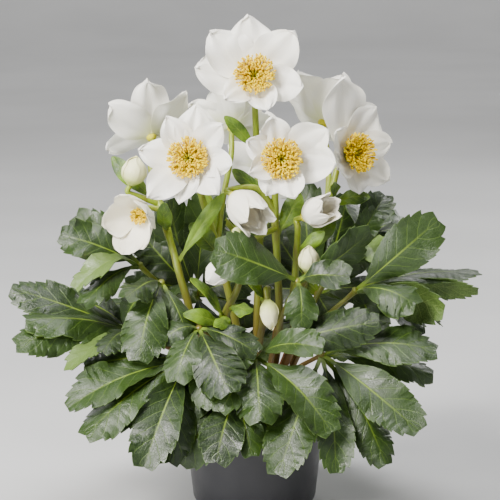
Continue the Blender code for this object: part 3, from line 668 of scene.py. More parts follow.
class Shape:
    """Rings of points gathered into one mesh, with a place and a tone at each point."""

    def __init__(self):
        self.points, self.places, self.tones = [], [], []
        self.faces, self.finishes = [], []
        self.count = 0

    def rings(self, rings, finish=0, places=None, tone=(0.5, 0.0), caps=True):
        """Adds rings of points, joined ring to ring; finish is one number or one for each column."""
        rings = np.asarray(rings, float)
        rows, columns = rings.shape[:2]
        index = self.count + np.arange(rows * columns).reshape(rows, columns)
        finish = np.broadcast_to(np.asarray(finish), (columns,))
        self.faces += ring_faces(index)
        self.finishes += np.tile(finish, rows - 1).tolist()
        if caps:
            self.faces += [index[0][::-1].tolist(), index[-1].tolist()]
            self.finishes += [int(finish[0])] * 2
        if places is None:
            places = np.zeros((rows, columns, 2))
            places[..., 1] = np.linspace(0, 1, rows)[:, None]
        self.points.append(rings.reshape(-1, 3))
        self.places.append(np.asarray(places, float).reshape(-1, 2))
        self.tones.append(np.tile(np.asarray(tone, float), (rows * columns, 1)))
        self.count += rows * columns

    def piece(self, name, materials, replaced):
        """The mesh as one object that stands for a node and rides on the part's body."""
        mesh = bpy.data.meshes.new(name)
        points = np.concatenate(self.points) * METRE
        mesh.from_pydata(points.tolist(), [], self.faces)
        mesh.polygons.foreach_set("material_index", self.finishes)
        work = bmesh.new()
        work.from_mesh(mesh)
        bmesh.ops.recalc_face_normals(work, faces=work.faces)
        work.to_mesh(mesh)
        work.free()
        corners = np.empty(len(mesh.loops), int)
        mesh.loops.foreach_get("vertex_index", corners)
        places = mesh.uv_layers.new(name="place")
        places.data.foreach_set("uv", np.concatenate(self.places)[corners].ravel())
        tones = np.concatenate(self.tones)
        for column, word in enumerate(("tone", "pale")):
            mesh.attributes.new(word, "FLOAT", "POINT").data.foreach_set("value", tones[:, column].copy())
        for material in materials:
            mesh.materials.append(material)
        mesh.shade_smooth()
        mesh.set_sharp_from_angle(angle=math.radians(55))
        made = linked(name, mesh)
        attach(made, "root")
        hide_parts(replaced)
        return made


def smooth_line(points, per_span):
    """A smooth line through the given points."""
    points = [np.asarray(p, float) for p in points]
    padded = [2 * points[0] - points[1], *points, 2 * points[-1] - points[-2]]
    line = []
    for index in range(1, len(padded) - 2):
        before, start, end, after = padded[index - 1 : index + 3]
        for step in range(per_span):
            t = step / per_span
            line.append(
                0.5
                * (
                    2 * start
                    + (end - before) * t
                    + (2 * before - 5 * start + 4 * end - after) * t**2
                    + (3 * start - before - 3 * end + after) * t**3
                )
            )
    line.append(points[-1])
    return np.array(line)


def tube_rings(line, radii, sides=STALK_SIDES, flat=0.0, first=None, last=None):
    """Rings round a line, each with its own radius; flat draws in the side that faces up."""
    line = np.asarray(line, float)
    tangents = np.gradient(line, axis=0)
    if first is not None:
        tangents[0] = first
    if last is not None:
        tangents[-1] = last
    tangents = units(tangents)
    radii = np.broadcast_to(np.asarray(radii, float), (len(line),))
    side = np.cross(tangents[0], TUBE_HINT)
    angles = 2 * np.pi * np.arange(sides) / sides
    rings = []
    for centre, tangent, radius in zip(line, tangents, radii):
        side = unit(side - tangent * np.dot(side, tangent))
        other = np.cross(tangent, side)
        around = np.cos(angles)[:, None] * side + np.sin(angles)[:, None] * other
        drawn = 1 - flat * np.clip(around @ UP, 0, 1) ** 2
        rings.append(centre + around * (radius * drawn)[:, None])
    return np.array(rings)


def turned_rings(profile, sides, centre=(0, 0, 0), axes=None):
    """Rings of a profile, given as (radius, height), turned about an axis."""
    right, up, axis = axes if axes else (np.array((1.0, 0, 0)), np.array((0, 1.0, 0)), UP)
    angles = 2 * np.pi * np.arange(sides) / sides
    around = np.cos(angles)[:, None] * right + np.sin(angles)[:, None] * up
    return np.array([np.asarray(centre) + around * radius + axis * height for radius, height in profile])


def petiole_points(leaf_root, hub, swing):
    """The points that a leaf's stalk follows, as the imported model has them."""
    root = compass(leaf_root) * (CROWN_RADIUS - 6.0)
    hub = np.asarray(hub, float)
    start = root + UP * (CROWN_TOP + GAP)
    across = hub[:2] - root[:2]
    middle = np.array((*(root[:2] + across * 0.42), 0.0))
    middle[:2] += unit((-across[1], across[0])) * swing
    middle[2] = max(start[2] + (hub[2] - start[2]) * 0.62, POT_HEIGHT + 14.0)
    return [start, start + UP * 8.0, middle, hub]


def fan_leaflets(fan, hub):
    """The leaflets of a leaf that spreads evenly about its own compass angle."""
    leaflets = []
    for index in range(fan.count):
        share = 2 * index / (fan.count - 1) - 1
        angle = fan.compass + FAN_HALF_SPREAD * share
        length = fan.length * (1 - FAN_SIDE_SHORTER * abs(share))
        drop = fan.drop * (1 - 0.5 * abs(share)) + 4 * (index % 2)
        reach = math.sqrt(length**2 - drop**2)
        tip = hub + compass(angle) * reach - UP * drop
        leaflets.append(Leaflet(tuple(tip), length * FAN_WIDTH, (angle, 52), 10.0))
    return tuple(leaflets)


def all_leaves():
    """The front's leaves and the back's, by name."""
    leaves = dict(FRONT_LEAVES)
    for name, fan in BACK_FANS.items():
        hub = compass(fan.compass) * fan.reach + UP * fan.height
        leaves[name] = Leaf(fan.root, tuple(hub), fan_leaflets(fan, hub))
    return leaves


def swell_of(shares):
    """The blade's width at shares of its length, as a share of the widest."""
    along = np.clip((shares - BLADE_STALK) / (1 - BLADE_STALK), 0, 1)
    return along**1.05 * (1 - along) ** 0.72 / (0.593**1.05 * 0.407**0.72)


def full_outline(shares, width):
    """The looks' half widths: broadest two thirds of the way out, with a blunt tip."""
    along = np.clip((shares - BLADE_STALK) / (1 - BLADE_STALK), 0, 1)
    half = width / 2 * along * (1 - along) ** 0.55 / (0.645 * 0.355**0.55)
    half = np.maximum(half, BLADE_STALK_HALF * (1 - shares))
    return np.where(shares <= BLADE_STALK, BLADE_STALK_HALF, half)


def half_widths(shares, width):
    """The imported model's half widths at shares of a blade's length."""
    half = np.maximum(width / 2 * swell_of(shares), BLADE_STALK_HALF * (1 - shares))
    return np.where(shares <= BLADE_STALK, BLADE_STALK_HALF, half)


def blade_frames(base, tip, face, arch, shares):
    """Centres, sides, normals and tangents of a blade at shares of its length."""
    shares = np.asarray(shares, float)[:, None]
    chord = tip - base
    along = unit(chord)
    out = unit(face - along * np.dot(face, along))
    rise = np.sin(np.pi * shares**0.85)
    slope = np.pi * 0.85 * np.maximum(shares, 0.02) ** -0.15 * np.cos(np.pi * shares**0.85)
    centres = base + chord * shares + out * arch * rise
    tangents = units(chord + out * arch * slope)
    sides = units(np.cross(tangents, out))
    return centres, sides, np.cross(sides, tangents), tangents


def lifted(hub, leaflet, lift, roll):
    """Where a leaflet's tip and face are once it is lifted off its neighbours and rolled about its length."""
    hub, tip = np.asarray(hub, float), np.asarray(leaflet.tip, float)
    length = np.linalg.norm(tip - hub)
    along = unit(tip - hub)
    face = compass(*leaflet.face)
    out = unit(face - along * np.dot(face, along))
    moved = hub + unit(tip + out * lift - hub) * length
    along = unit(moved - hub)
    out = unit(out - along * np.dot(out, along))
    return moved, turned_about(out, along, roll)


def coarse_points(hub, tip, face, leaflet):
    """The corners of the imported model's plain blade."""
    start = hub + unit(tip - hub) * BLADE_START
    shares = np.array(BLADE_STATIONS[1:])
    centres, sides, normals, _ = blade_frames(start, tip, face, leaflet.arch, shares)
    half = half_widths(shares, leaflet.width)[:, None]
    sag = normals * BLADE_DROP * half * (shares > BLADE_STALK)[:, None]
    return np.concatenate((centres - sides * half - sag, centres + sides * half - sag, [tip]))


def tree_of(node):
    """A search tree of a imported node's corners."""
    mesh = node.data
    tree = KDTree(len(mesh.vertices))
    for number, corner in enumerate(mesh.vertices):
        tree.insert(corner.co / METRE, number)
    tree.balance()
    return tree


def miss(tree, points):
    """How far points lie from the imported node's own corners, in the middle of the list."""
    return float(np.median([tree.find(point)[2] for point in points]))


def settled(leaf, tree):
    """The stalk's swing and each leaflet's tip and face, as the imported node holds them."""
    hub = np.asarray(leaf.hub, float)

    def stalk_miss(swing):
        line = smooth_line(petiole_points(leaf.root, hub, swing), 2)
        rings = tube_rings(line, np.linspace(PETIOLE_BASE, PETIOLE_TOP, len(line)), 5, first=UP)
        return miss(tree, rings[2:5].reshape(-1, 3))

    swing = min(SETTLE_SWINGS, key=stalk_miss)
    placed = []
    for leaflet in leaf.leaflets:
        tries = [lifted(hub, leaflet, lift, roll) for lift in SETTLE_LIFTS for roll in SETTLE_ROLLS]
        misses = [miss(tree, coarse_points(hub, tip, face, leaflet)) for tip, face in tries]
        best = int(np.argmin(misses))
        if misses[best] < SETTLE_MISS:
            placed.append((*tries[best], leaflet))
    return swing, placed


def margin(rng, length, toothed):
    """Shares along a blade, each side's inset as a share of a tooth, and how far the margin leans forward."""
    smooth = np.linspace(0.0, 0.37, 15)
    if not toothed:
        shares = np.concatenate((smooth, np.linspace(0.39, 0.97, 14)))
        return shares, np.zeros((len(shares), 2)), np.zeros(len(shares))
    count = max(5, round(length * 0.6 / TOOTH_PITCH))
    steps = rng.uniform(0.65, 1.35, count)
    ends = TEETH_FROM + TEETH_OVER * np.cumsum(steps) / steps.sum()
    starts = np.concatenate(([TEETH_FROM], ends[:-1]))
    shares, insets, lean = list(smooth), [(0.0, 0.0)] * len(smooth), [0.0] * len(smooth)
    for number, (start, end) in enumerate(zip(starts, ends)):
        deep = rng.uniform(0.35, 1.3, 2) * min(1.0, 0.25 + 0.2 * number)
        for phase, inset, forward in TOOTH_STEPS:
            shares.append(start + (end - start) * phase)
            insets.append(tuple(deep * inset))
            lean.append(forward * (end - start))
    return np.array(shares), np.array(insets), np.array(lean)


def leaf_blade(shape, base, tip, width, face, arch, seed, toothed=True, tone=(0.5, 0.0)):
    """One leaflet or bract: a thin curved blade with a sunken rib, quilting between veins and a wavy edge."""
    rng = np.random.default_rng(seed)
    base, tip = np.asarray(base, float), np.asarray(tip, float)
    length = np.linalg.norm(tip - base)
    start = base + unit(tip - base) * BLADE_START
    shares, insets, lean = margin(rng, length, toothed)
    centres, sides, normals, tangents = blade_frames(start, tip, face, arch, shares)
    twist = rng.uniform(-BLADE_TWIST, BLADE_TWIST) * shares[:, None]
    sides, normals = turned_about(sides, tangents, twist), turned_about(normals, tangents, twist)
    bend = rng.uniform(-BLADE_BEND, BLADE_BEND)
    centres = centres + sides * (bend * length * np.sin(np.pi * shares))[:, None]
    half = full_outline(shares, width) if toothed else half_widths(shares, width)
    deep = TOOTH_DEPTH * np.minimum(1.0, half / 9.0)
    left, right = half - deep * insets[:, 0], half - deep * insets[:, 1]
    across = np.array(ACROSS)
    reach = np.abs(across)
    lateral = np.where(across < 0, left[:, None], right[:, None]) * across
    body = smooth_step(0.1, 0.3, shares)[:, None]
    fold = rng.choice(BLADE_FOLDS) + rng.uniform(-0.05, 0.05)
    drop = fold * reach**1.5
    waves = rng.uniform(*BLADE_WAVES)
    phase = rng.uniform(0, 1, 2)
    wave_side = np.where(across < 0, phase[0], phase[1])
    ripple = np.sin(2 * np.pi * (waves * shares[:, None] + wave_side)) * reach**2
    if toothed:
        fine = np.sin(2 * np.pi * (BLADE_FINE_WAVES * waves * shares[:, None] - wave_side))
        ripple = ripple + 0.3 * fine * reach**3
    wave = rng.uniform(*BLADE_WAVE_DEPTHS)
    veins = (shares[:, None] - VEIN_SLANT * reach) * SIDE_VEINS
    quilt = -np.cos(2 * np.pi * veins) * np.sin(np.pi * reach) ** 0.7
    groove = np.exp(-((lateral / RIB_GROOVE_HALF) ** 2)) * (1 - shares[:, None]) ** 0.4
    curl = np.clip(shares - 0.6, 0, 1)[:, None] ** 2 / 0.16 * rng.uniform(*BLADE_CURL)
    height = half[:, None] * (wave * ripple - drop) * body - curl
    quilted = min(1.0, width / QUILT_WIDTH)
    height = height + (QUILT_DEPTH * quilt * quilted - RIB_GROOVE * groove) * body
    top = centres[:, None] + sides[:, None] * lateral[..., None] + normals[:, None] * height[..., None]
    top = top + tangents[:, None] * (lean[:, None] * length * reach**3)[..., None]
    stalk = 1 - smooth_step(0.08, 0.24, shares)
    rib = RIB_THICK * np.exp(-((lateral / RIB_HALF) ** 2)) * (1 - shares[:, None]) ** 0.6
    thick = BLADE_THICK + STALK_THICK * stalk[:, None] + rib
    under = top - normals[:, None] * thick[..., None]
    end = np.broadcast_to(centres[-1:] * 0.25 + tip * 0.75 - normals[-1] * curl[-1], (1, 3))
    rings = np.concatenate((top, under[:, ::-1]), axis=1)
    last = end + (rings[-1] - rings[-1].mean(axis=0)) * 0.12
    rings = np.concatenate((rings, last[None]))
    shares = np.append(shares, 1.0)
    shape.rings(rings, sheet_finish(len(across)), sheet_places(rings, across, shares), tone)


def build_leaf(name, leaf, number, materials):
    """One grown leaf: its stalk, the hub and its leaflets."""
    shape = Shape()
    swing, placed = settled(leaf, tree_of(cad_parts[name]))
    hub = np.asarray(leaf.hub, float)
    line = smooth_line(petiole_points(leaf.root, hub, swing), 9)
    share = np.linspace(0, 1, len(line))
    radii = PETIOLE_BASE + (PETIOLE_TOP - PETIOLE_BASE) * share**0.7
    radii = radii + 0.9 * np.exp(-((share / 0.05) ** 2)) + 0.7 * smooth_step(0.93, 1.0, share)
    shape.rings(tube_rings(line, radii, STALK_SIDES, 0.3, first=UP), 2, tone=(number % 5 / 5, 0.0))
    axis = unit(line[-1] - line[-3])
    knot = [(HUB_RADIUS * math.sin(a), -HUB_RADIUS * 0.8 * math.cos(a)) for a in np.linspace(0.12, 3.02, 8)]
    shape.rings(turned_rings(knot, STALK_SIDES, hub, axes_about(axis)), 2)
    for index, (tip, face, leaflet) in enumerate(placed):
        # painted light: the listed leaflets are marked for a pale lime-green that stands in for the light
        # they catch
        pale = 1.0 if (name, index) in LEAFLETS_WITH_PAINTED_LIGHT else 0.0
        seed = number * LEAF_SEED_STEP + index
        tone = (np.random.default_rng(seed + TONE_SEED).uniform(0, 1), pale)
        width = leaflet.width * LEAFLET_FULLER
        leaf_blade(shape, hub, tip, width, face, leaflet.arch, seed, True, tone)
    shape.piece(f"{name}_look", materials, name)


def head_joint(head):
    """Where a flower's or bud's stalk ends, and the direction in which it comes in."""
    if head in FLOWERS:
        flower = FLOWERS[head]
        axis = compass(*flower.face)
        return np.asarray(flower.centre, float) - axis * (RECEPTACLE_DEPTH + GAP), axis
    bud = BUDS[head]
    axis = unit(np.subtract(bud.tip, bud.base))
    return np.asarray(bud.base, float) - axis * GAP, axis


def build_stem(name, stem, number, materials):
    """One flower stem with its side stalks and its bracts."""
    shape = Shape()
    angle, reach = stem.root
    start = compass(angle) * reach + UP * (CROWN_TOP + GAP)
    end, axis = head_joint(stem.head)
    line = smooth_line([start, start + UP * 9.0, *stem.line, end - axis * 7.0, end], 8)
    share = np.linspace(0, 1, len(line))
    radii = STEM_BASE + (PEDICEL_TIP - STEM_BASE) * share
    joints = [np.asarray(bract.base, float) for bract in stem.bracts] + [np.asarray(s[0]) for s in stem.sides]
    for joint in joints:
        away = np.linalg.norm(line - joint, axis=1)
        radii = radii + 0.9 * np.exp(-((away / 5.0) ** 2)) / len(joints) ** 0.5
    shape.rings(tube_rings(line, radii, STALK_SIDES, first=UP, last=axis), 2, tone=(number % 4 / 4, 0.0))
    for begin, middle, head in stem.sides:
        end, axis = head_joint(head)
        line = smooth_line([begin, *middle, end - axis * 6.0, end], 8)
        radii = np.linspace(STEM_TOP, PEDICEL_TIP, len(line))
        shape.rings(tube_rings(line, radii, STALK_SIDES, last=axis), 2, tone=(number % 4 / 4, 0.0))
    for index, bract in enumerate(stem.bracts):
        face = compass(*bract.face)
        seed = STEM_SEED + number * STEM_SEED_STEP + index
        tone = (index % 3 / 3, 0.0)
        width = bract.width * BRACT_FULLER
        leaf_blade(shape, bract.base, bract.tip, width, face, bract.arch, seed, False, tone)
    shape.piece(f"{name}_look", materials, name)


def flower_frame(flower):
    """The flower's axis, and right and up on its face as its viewer sees them."""
    axis = compass(*flower.face)
    up = unit(UP - axis * np.dot(UP, axis))
    return axis, np.cross(up, axis), up


def grid_normals(grid):
    """The direction that a grid of points faces at each of them."""
    along = np.gradient(grid, axis=0)
    across = np.gradient(grid, axis=1)
    return units(np.cross(along, across))


def sepal(shape, flower, face_frame, entry, spread, order, rng):
    """One sepal: a broad thin blade that laps over its neighbour, with a wavy edge and a soft point."""
    angle, reach, cup = entry
    axis, right, up = face_frame
    share = np.linspace(0.02, 1.0, SEPAL_ROWS) ** 0.9
    across = np.linspace(-1, 1, SEPAL_ACROSS)
    cupped = flower.bowl < 1.0
    outline = share**0.8 * np.clip(1 - share, 0, 1) ** rng.uniform(*SEPAL_POINTS)
    outline = outline / outline.max()
    radial = reach * share**flower.bowl
    if cupped:
        wide = np.radians(CUP_HALF_ANGLE) * np.clip(1.1 * (1 - share**5.0), 0.0, 1.0) ** 0.6
    else:
        wide = np.arctan(reach * spread * outline / np.maximum(radial, 0.12 * reach))
        wide = np.minimum(wide, math.radians(SEPAL_WIDEST))
    turn = wide[:, None] * across
    ragged = np.sin(across * rng.uniform(6, 12) + rng.uniform(0, 6)) * share[:, None] ** 3
    ragged = 1 + SEPAL_RAGGED * ragged
    out = radial[:, None] * ragged / (1.0 if cupped else np.cos(turn))
    lean = rng.uniform(-SEPAL_LEAN, SEPAL_LEAN) if not cupped else 0.0
    rise = math.tan(math.radians(cup + lean))
    even = (out / reach) ** (1 / flower.bowl)
    height = reach * rise * even**1.25
    edge = np.abs(across) ** 2.2
    phase = rng.uniform(0, 6, 2)
    ripple = np.sin(share[:, None] * rng.uniform(7, 11) + np.where(across < 0, phase[0], phase[1]))
    height = height + reach * SEPAL_RIPPLE * ripple * edge * share[:, None]
    reflex = np.clip(share - 0.6, 0, 1)[:, None] ** 2 / 0.16 * rng.uniform(*SEPAL_REFLEX)
    height = height - reflex * (0.0 if cupped else 1.0)
    if cupped:
        close = CUP_CLOSE * (1 - flower.bowl)
        out = out * (1 - close * smooth_step(0.4, 1.0, share)[:, None])
    lap = out * np.sin(turn) * SEPAL_LAP + order * SEPAL_STEP * smooth_step(0.0, 0.3, share)[:, None]
    keel = SEPAL_KEEL * np.exp(-((across / 0.12) ** 2)) * smooth_step(0.1, 0.4, share)[:, None]
    pleat = np.sin(across * rng.uniform(4, 8) + rng.uniform(0, 6) + 2.0 * share[:, None])
    keel = keel + pleat * SEPAL_PLEAT * smooth_step(0.15, 0.6, share)[:, None] * (1 - across**4)
    theta = math.radians(angle) + turn
    flat = np.cos(theta)[..., None] * right + np.sin(theta)[..., None] * up
    slope = 0.5 if cupped else 0.0
    centre = np.asarray(flower.centre, float)
    face = centre + flat * (out - slope * lap * 1.4)[..., None]
    face = face + axis * (height + lap * (1 - slope) - keel * 0.5)[..., None]
    normals = grid_normals(face)
    if np.sum(normals[SEPAL_ROWS // 2, SEPAL_ACROSS // 2] * axis) < 0:
        normals = -normals
    thick = SEPAL_THICK * (0.35 + 0.65 * np.clip(1 - np.abs(across), 0, 1) ** 0.5)
    back = face - normals * thick[None, :, None]
    rings = np.concatenate((face, back[:, ::-1]), axis=1)
    tone = (rng.uniform(0, 1), 1.0 if cupped else 0.0)
    shape.rings(rings, sheet_finish(SEPAL_ACROSS), sheet_places(rings, across, share), tone)


def build_sepals(name, flower, number, materials):
    """A flower's ring of lapping sepals on its green receptacle."""
    shape = Shape()
    rng = np.random.default_rng(SEPAL_SEED + number)
    face_frame = flower_frame(flower)
    axis, right, up = face_frame
    sepals = sorted(flower.sepals, key=lambda entry: entry[0] % 360)
    spread = SEPAL_SPREAD * math.tan(math.pi / max(len(sepals), FULL_RING))
    if not flower.boss:
        reach = max(entry[1] for entry in sepals)
        base = np.asarray(flower.centre, float)
        wrapped_sepals(shape, base, base + axis * reach * CLOSED_LENGTH, reach * 0.95, 0.3, rng)
        sepals = []
    for order, entry in enumerate(sepals):
        sepal(shape, flower, face_frame, entry, spread, order % 2, rng)
    if flower.boss and flower.bowl <= TIGHT_BOWL:
        for angle, reach, cup in sepals[:3]:
            inner = (angle * 1.6 + 36, reach * INNER_REACH, cup + 3)
            sepal(shape, flower, face_frame, inner, spread, 0, rng)
    foot = RECEPTACLE_RADIUS
    profile = [(0.3, -RECEPTACLE_DEPTH), (foot * 0.75, -RECEPTACLE_DEPTH), (foot, -3.0), (foot * 1.25, -1.6)]
    profile += [(foot * 1.3, -0.6), (foot * 0.9, 0.3), (0.3, 0.5)]
    shape.rings(turned_rings(profile, 16, flower.centre, (right, up, axis)), 2)
    shape.piece(f"{name}_sepals_look", materials, f"{name}_sepals")


def dish_floor(flower, at):
    """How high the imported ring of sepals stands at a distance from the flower's axis."""
    steepest = max(cup for _, _, cup in flower.sepals)
    least = NOTCH * min(reach for _, reach, _ in flower.sepals)
    rise = math.tan(math.radians(steepest))
    shares = np.array((0.0, *SEPAL_SHARES))
    return np.interp(at, least * shares**flower.bowl, least * rise * shares**1.25) * 1.06 + GAP


def stamen(shape, foot, head, bend, size, rng):
    """A thread with its anther."""
    middle = (foot + head) / 2 + bend
    line = smooth_line([foot, middle, head], 2)
    shape.rings(tube_rings(line, np.linspace(0.34, 0.24, len(line)), 4), 0)
    axis = unit(head - middle + rng.normal(0, 0.35, 3))
    profile = [(0.25, -1.0), (0.85, -0.55), (1.0, 0.1), (0.75, 0.7), (0.2, 1.0)]
    profile = [(size * r, size * ANTHER_LONG * z) for r, z in profile]
    tone = (rng.uniform(0, 1), 0.0)
    shape.rings(turned_rings(profile, 6, head, axes_about(axis, STAMEN_HINT)), 1, tone=tone)


def build_stamens(name, flower, number, materials):
    """The cushion of stamens round the green pistils, with a ring of small nectaries at its foot."""
    shape = Shape()
    rng = np.random.default_rng(STAMEN_SEED + number)
    axis, right, up = flower_frame(flower)
    centre = np.asarray(flower.centre, float)
    radius = flower.boss * (1.0 if flower.bowl == 1.0 else CUP_BOSS)

    def at(angle, out, height):
        return centre + (right * math.cos(angle) + up * math.sin(angle)) * out + axis * height

    open_share = radius / FULL_BOSS
    count = int(STAMENS * open_share**1.6)
    for index in range(count):
        share = (index + 0.5) / count
        angle = index * GOLDEN_ANGLE + rng.normal(0, 0.16)
        out = radius * (0.2 + 0.84 * share**0.6) * rng.uniform(0.95, 1.04)
        out = min(out, radius * 1.06)
        lift = (3.6 + 7.4 * (1 - share) ** 0.8) * (0.45 + 0.55 * open_share) + rng.normal(0, 1.1)
        floor = float(dish_floor(flower, min(out, radius)))
        head = at(angle, out, floor + max(lift, 1.6))
        foot = at(angle, radius * 0.14 + out * 0.16, 1.0 + float(dish_floor(flower, radius * 0.3)) * 0.5)
        bend = axis * rng.uniform(0.4, 1.6) * open_share
        stamen(shape, foot, head, bend, rng.uniform(0.62, 0.95), rng)
    pistils = OPEN_PISTILS if open_share > WIDE_OPEN else CUP_PISTILS
    tall = (float(dish_floor(flower, radius * 0.3)) + 9.5) * (0.5 + 0.5 * open_share)
    for index in range(pistils):
        angle = 2 * math.pi * index / pistils + 0.3
        style = ((1.4, 0.6), (2.1, tall * 0.5), (2.4, tall * 0.85), (3.9, tall))
        line = smooth_line([at(angle, out, height) for out, height in style], 3)
        radii = np.interp(np.linspace(0, 1, len(line)), (0, 0.3, 0.6, 1), (1.1, 1.5, 0.8, 0.45))
        shape.rings(tube_rings(line, radii, 7), 2)
    if open_share > WIDE_OPEN:
        base = float(dish_floor(flower, 6.0))
        for index in range(NECTARIES):
            angle = 2 * math.pi * index / NECTARIES
            horn = ((3.4, 1.6), (5.6, base * 0.8), (7.4, base + 2.2))
            line = smooth_line([at(angle, out, height) for out, height in horn], 3)
            shape.rings(tube_rings(line, np.linspace(0.6, 1.35, len(line)), 8), 2)
    shape.piece(f"{name}_stamens_look", materials, f"{name}_stamens")


def wrapped_sepals(shape, base, tip, radius, pale, rng):
    """A closed bud: a core with five sepals that lap round it."""
    length = np.linalg.norm(tip - base)
    axis = unit(tip - base)
    side, other, _ = axes_about(axis)
    core_share = np.linspace(0, 1, 14)
    swell = np.interp(core_share, (0, 0.03, 0.22, 0.48, 0.82, 1), (0.2, 0.34, 0.86, 1.0, 0.68, 0.06))
    core = [(radius * 0.86 * s, length * z * 0.97) for s, z in zip(swell, core_share)]
    shape.rings(turned_rings(core, 20, base, (side, other, axis)), 0)
    share = np.linspace(0.0, 1.0, 20)
    across = np.linspace(-1, 1, 13)
    swell = np.interp(share, (0, 0.03, 0.22, 0.48, 0.82, 1), (0.24, 0.36, 0.86, 1.0, 0.7, 0.1))
    swell = np.convolve(np.pad(swell, 1, mode="edge"), (0.25, 0.5, 0.25), mode="valid")
    for index in range(BUD_SEPALS):
        middle = 2 * math.pi * index / BUD_SEPALS + rng.uniform(-0.12, 0.12)
        wide = math.radians(BUD_HALF_ANGLE) * np.clip(1.25 * (1 - share**4), 0.12, 1.0)
        turn = middle + wide[:, None] * across
        over = 0.06 * radius * across[None, :] * smooth_step(0.05, 0.4, share)[:, None]
        wave = 0.03 * radius * np.sin(share[:, None] * 9 + index) * np.abs(across) ** 3
        out = radius * swell[:, None] * 0.93 + over + wave
        rise = length * (share * (1 - 0.02 * index))[:, None] * np.ones_like(turn)
        around = np.cos(turn)[..., None] * side + np.sin(turn)[..., None] * other
        face = base + around * out[..., None] + axis * rise[..., None]
        back = base + around * (out - 0.5)[..., None] + axis * rise[..., None]
        rings = np.concatenate((face, back[:, ::-1]), axis=1)
        shape.rings(rings, 0, sheet_places(rings, across, share), (rng.uniform(0, 1), pale))


def build_bud(name, bud, number, materials):
    """One closed bud."""
    shape = Shape()
    rng = np.random.default_rng(BUD_SEED + number)
    base, tip = np.asarray(bud.base, float), np.asarray(bud.tip, float)
    wrapped_sepals(shape, base, tip, bud.radius, 1.0 if name == "bud_green" else 0.0, rng)
    shape.piece(f"{name}_look", materials, name)


def ripple_noise(points, seed, waves=9, reach=(0.1, 0.5)):
    """A smooth seeded unevenness at points, about -1 to 1."""
    rng = np.random.default_rng(seed)
    total = np.zeros(points.shape[:-1])
    for _ in range(waves):
        direction = units(rng.normal(0, 1, 3))
        total = total + np.sin(points @ direction * rng.uniform(*reach) * 2 * np.pi + rng.uniform(0, 6.3))
    return total / math.sqrt(waves)


def pot_radius(height):
    """The outer radius of the pot's wall at a height above its foot."""
    share = (height - POT_EDGE_ROUND) / (POT_HEIGHT - POT_EDGE_ROUND)
    return POT_FOOT_RADIUS + (POT_RIM_RADIUS - POT_FOOT_RADIUS) * share


def edge_round(radius, centre_radius, centre_height, steps):
    """A quarter turn from straight down to straight out."""
    angles = np.linspace(0, math.pi / 2, steps + 1)
    return [(centre_radius + radius * math.sin(a), centre_height - radius * math.cos(a)) for a in angles]


def build_pot(materials):
    """The moulded pot: rounded foot, plain outward lip, and drainage holes through its floor."""
    outer = edge_round(POT_EDGE_ROUND, POT_FOOT_RADIUS - POT_EDGE_ROUND, POT_EDGE_ROUND, 14)
    inner_round = POT_EDGE_ROUND - POT_WALL
    inner = edge_round(inner_round, POT_FOOT_RADIUS - POT_EDGE_ROUND, POT_FLOOR + inner_round, 8)
    low = POT_HEIGHT - POT_LIP_HEIGHT
    wall = [(pot_radius(h), h) for h in np.linspace(POT_EDGE_ROUND + 4, low - 0.6, 12)]
    lip = [(pot_radius(low) + 0.2, low), (pot_radius(low) + POT_LIP * 0.7, low + 0.4)]
    lip += [(pot_radius(low) + POT_LIP, low + 1.2), (POT_RIM_RADIUS + POT_LIP, POT_HEIGHT - 1.2)]
    lip += [(POT_RIM_RADIUS + POT_LIP * 0.7, POT_HEIGHT - 0.3), (POT_RIM_RADIUS + POT_LIP / 3, POT_HEIGHT)]
    lip += [(POT_RIM_RADIUS - POT_WALL + 0.5, POT_HEIGHT), (POT_RIM_RADIUS - POT_WALL, POT_HEIGHT - 0.5)]
    flat = POT_FOOT_RADIUS - POT_EDGE_ROUND - 2
    floor_out = [(CAP_RADIUS, 0.0), (flat, 0.0)]
    floor_in = [(flat, POT_FLOOR), (CAP_RADIUS, POT_FLOOR)]
    profile = floor_out + outer + wall + lip + inner[::-1] + floor_in
    shape = Shape()
    shape.rings(turned_rings(profile, POT_SIDES), 0)
    pot = shape.piece("pot_look", materials, "pot")
    for hole in range(DRAIN_HOLES):
        angle = 2 * math.pi * (hole + 0.5) / DRAIN_HOLES
        place = np.array((math.cos(angle), math.sin(angle), 0.0)) * DRAIN_RING_RADIUS
        plug = Shape()
        line = np.array([place + UP * -2.0, place + UP * (POT_FLOOR + 2.0)])
        plug.rings(tube_rings(line, DRAIN_RADIUS, DRAIN_SIDES), 0)
        mesh = bpy.data.meshes.new("drain")
        mesh.from_pydata((np.concatenate(plug.points) * METRE).tolist(), [], plug.faces)
        cutter = linked("drain", mesh)
        cut = pot.modifiers.new("drain", "BOOLEAN")
        cut.operation = "DIFFERENCE"
        cut.solver = "EXACT"
        cut.object = cutter
        bpy.context.view_layer.update()
        graph = bpy.context.evaluated_depsgraph_get()
        opened = bpy.data.meshes.new_from_object(pot.evaluated_get(graph))
        pot.modifiers.clear()
        pot.data = opened
        bpy.data.objects.remove(cutter, do_unlink=True)


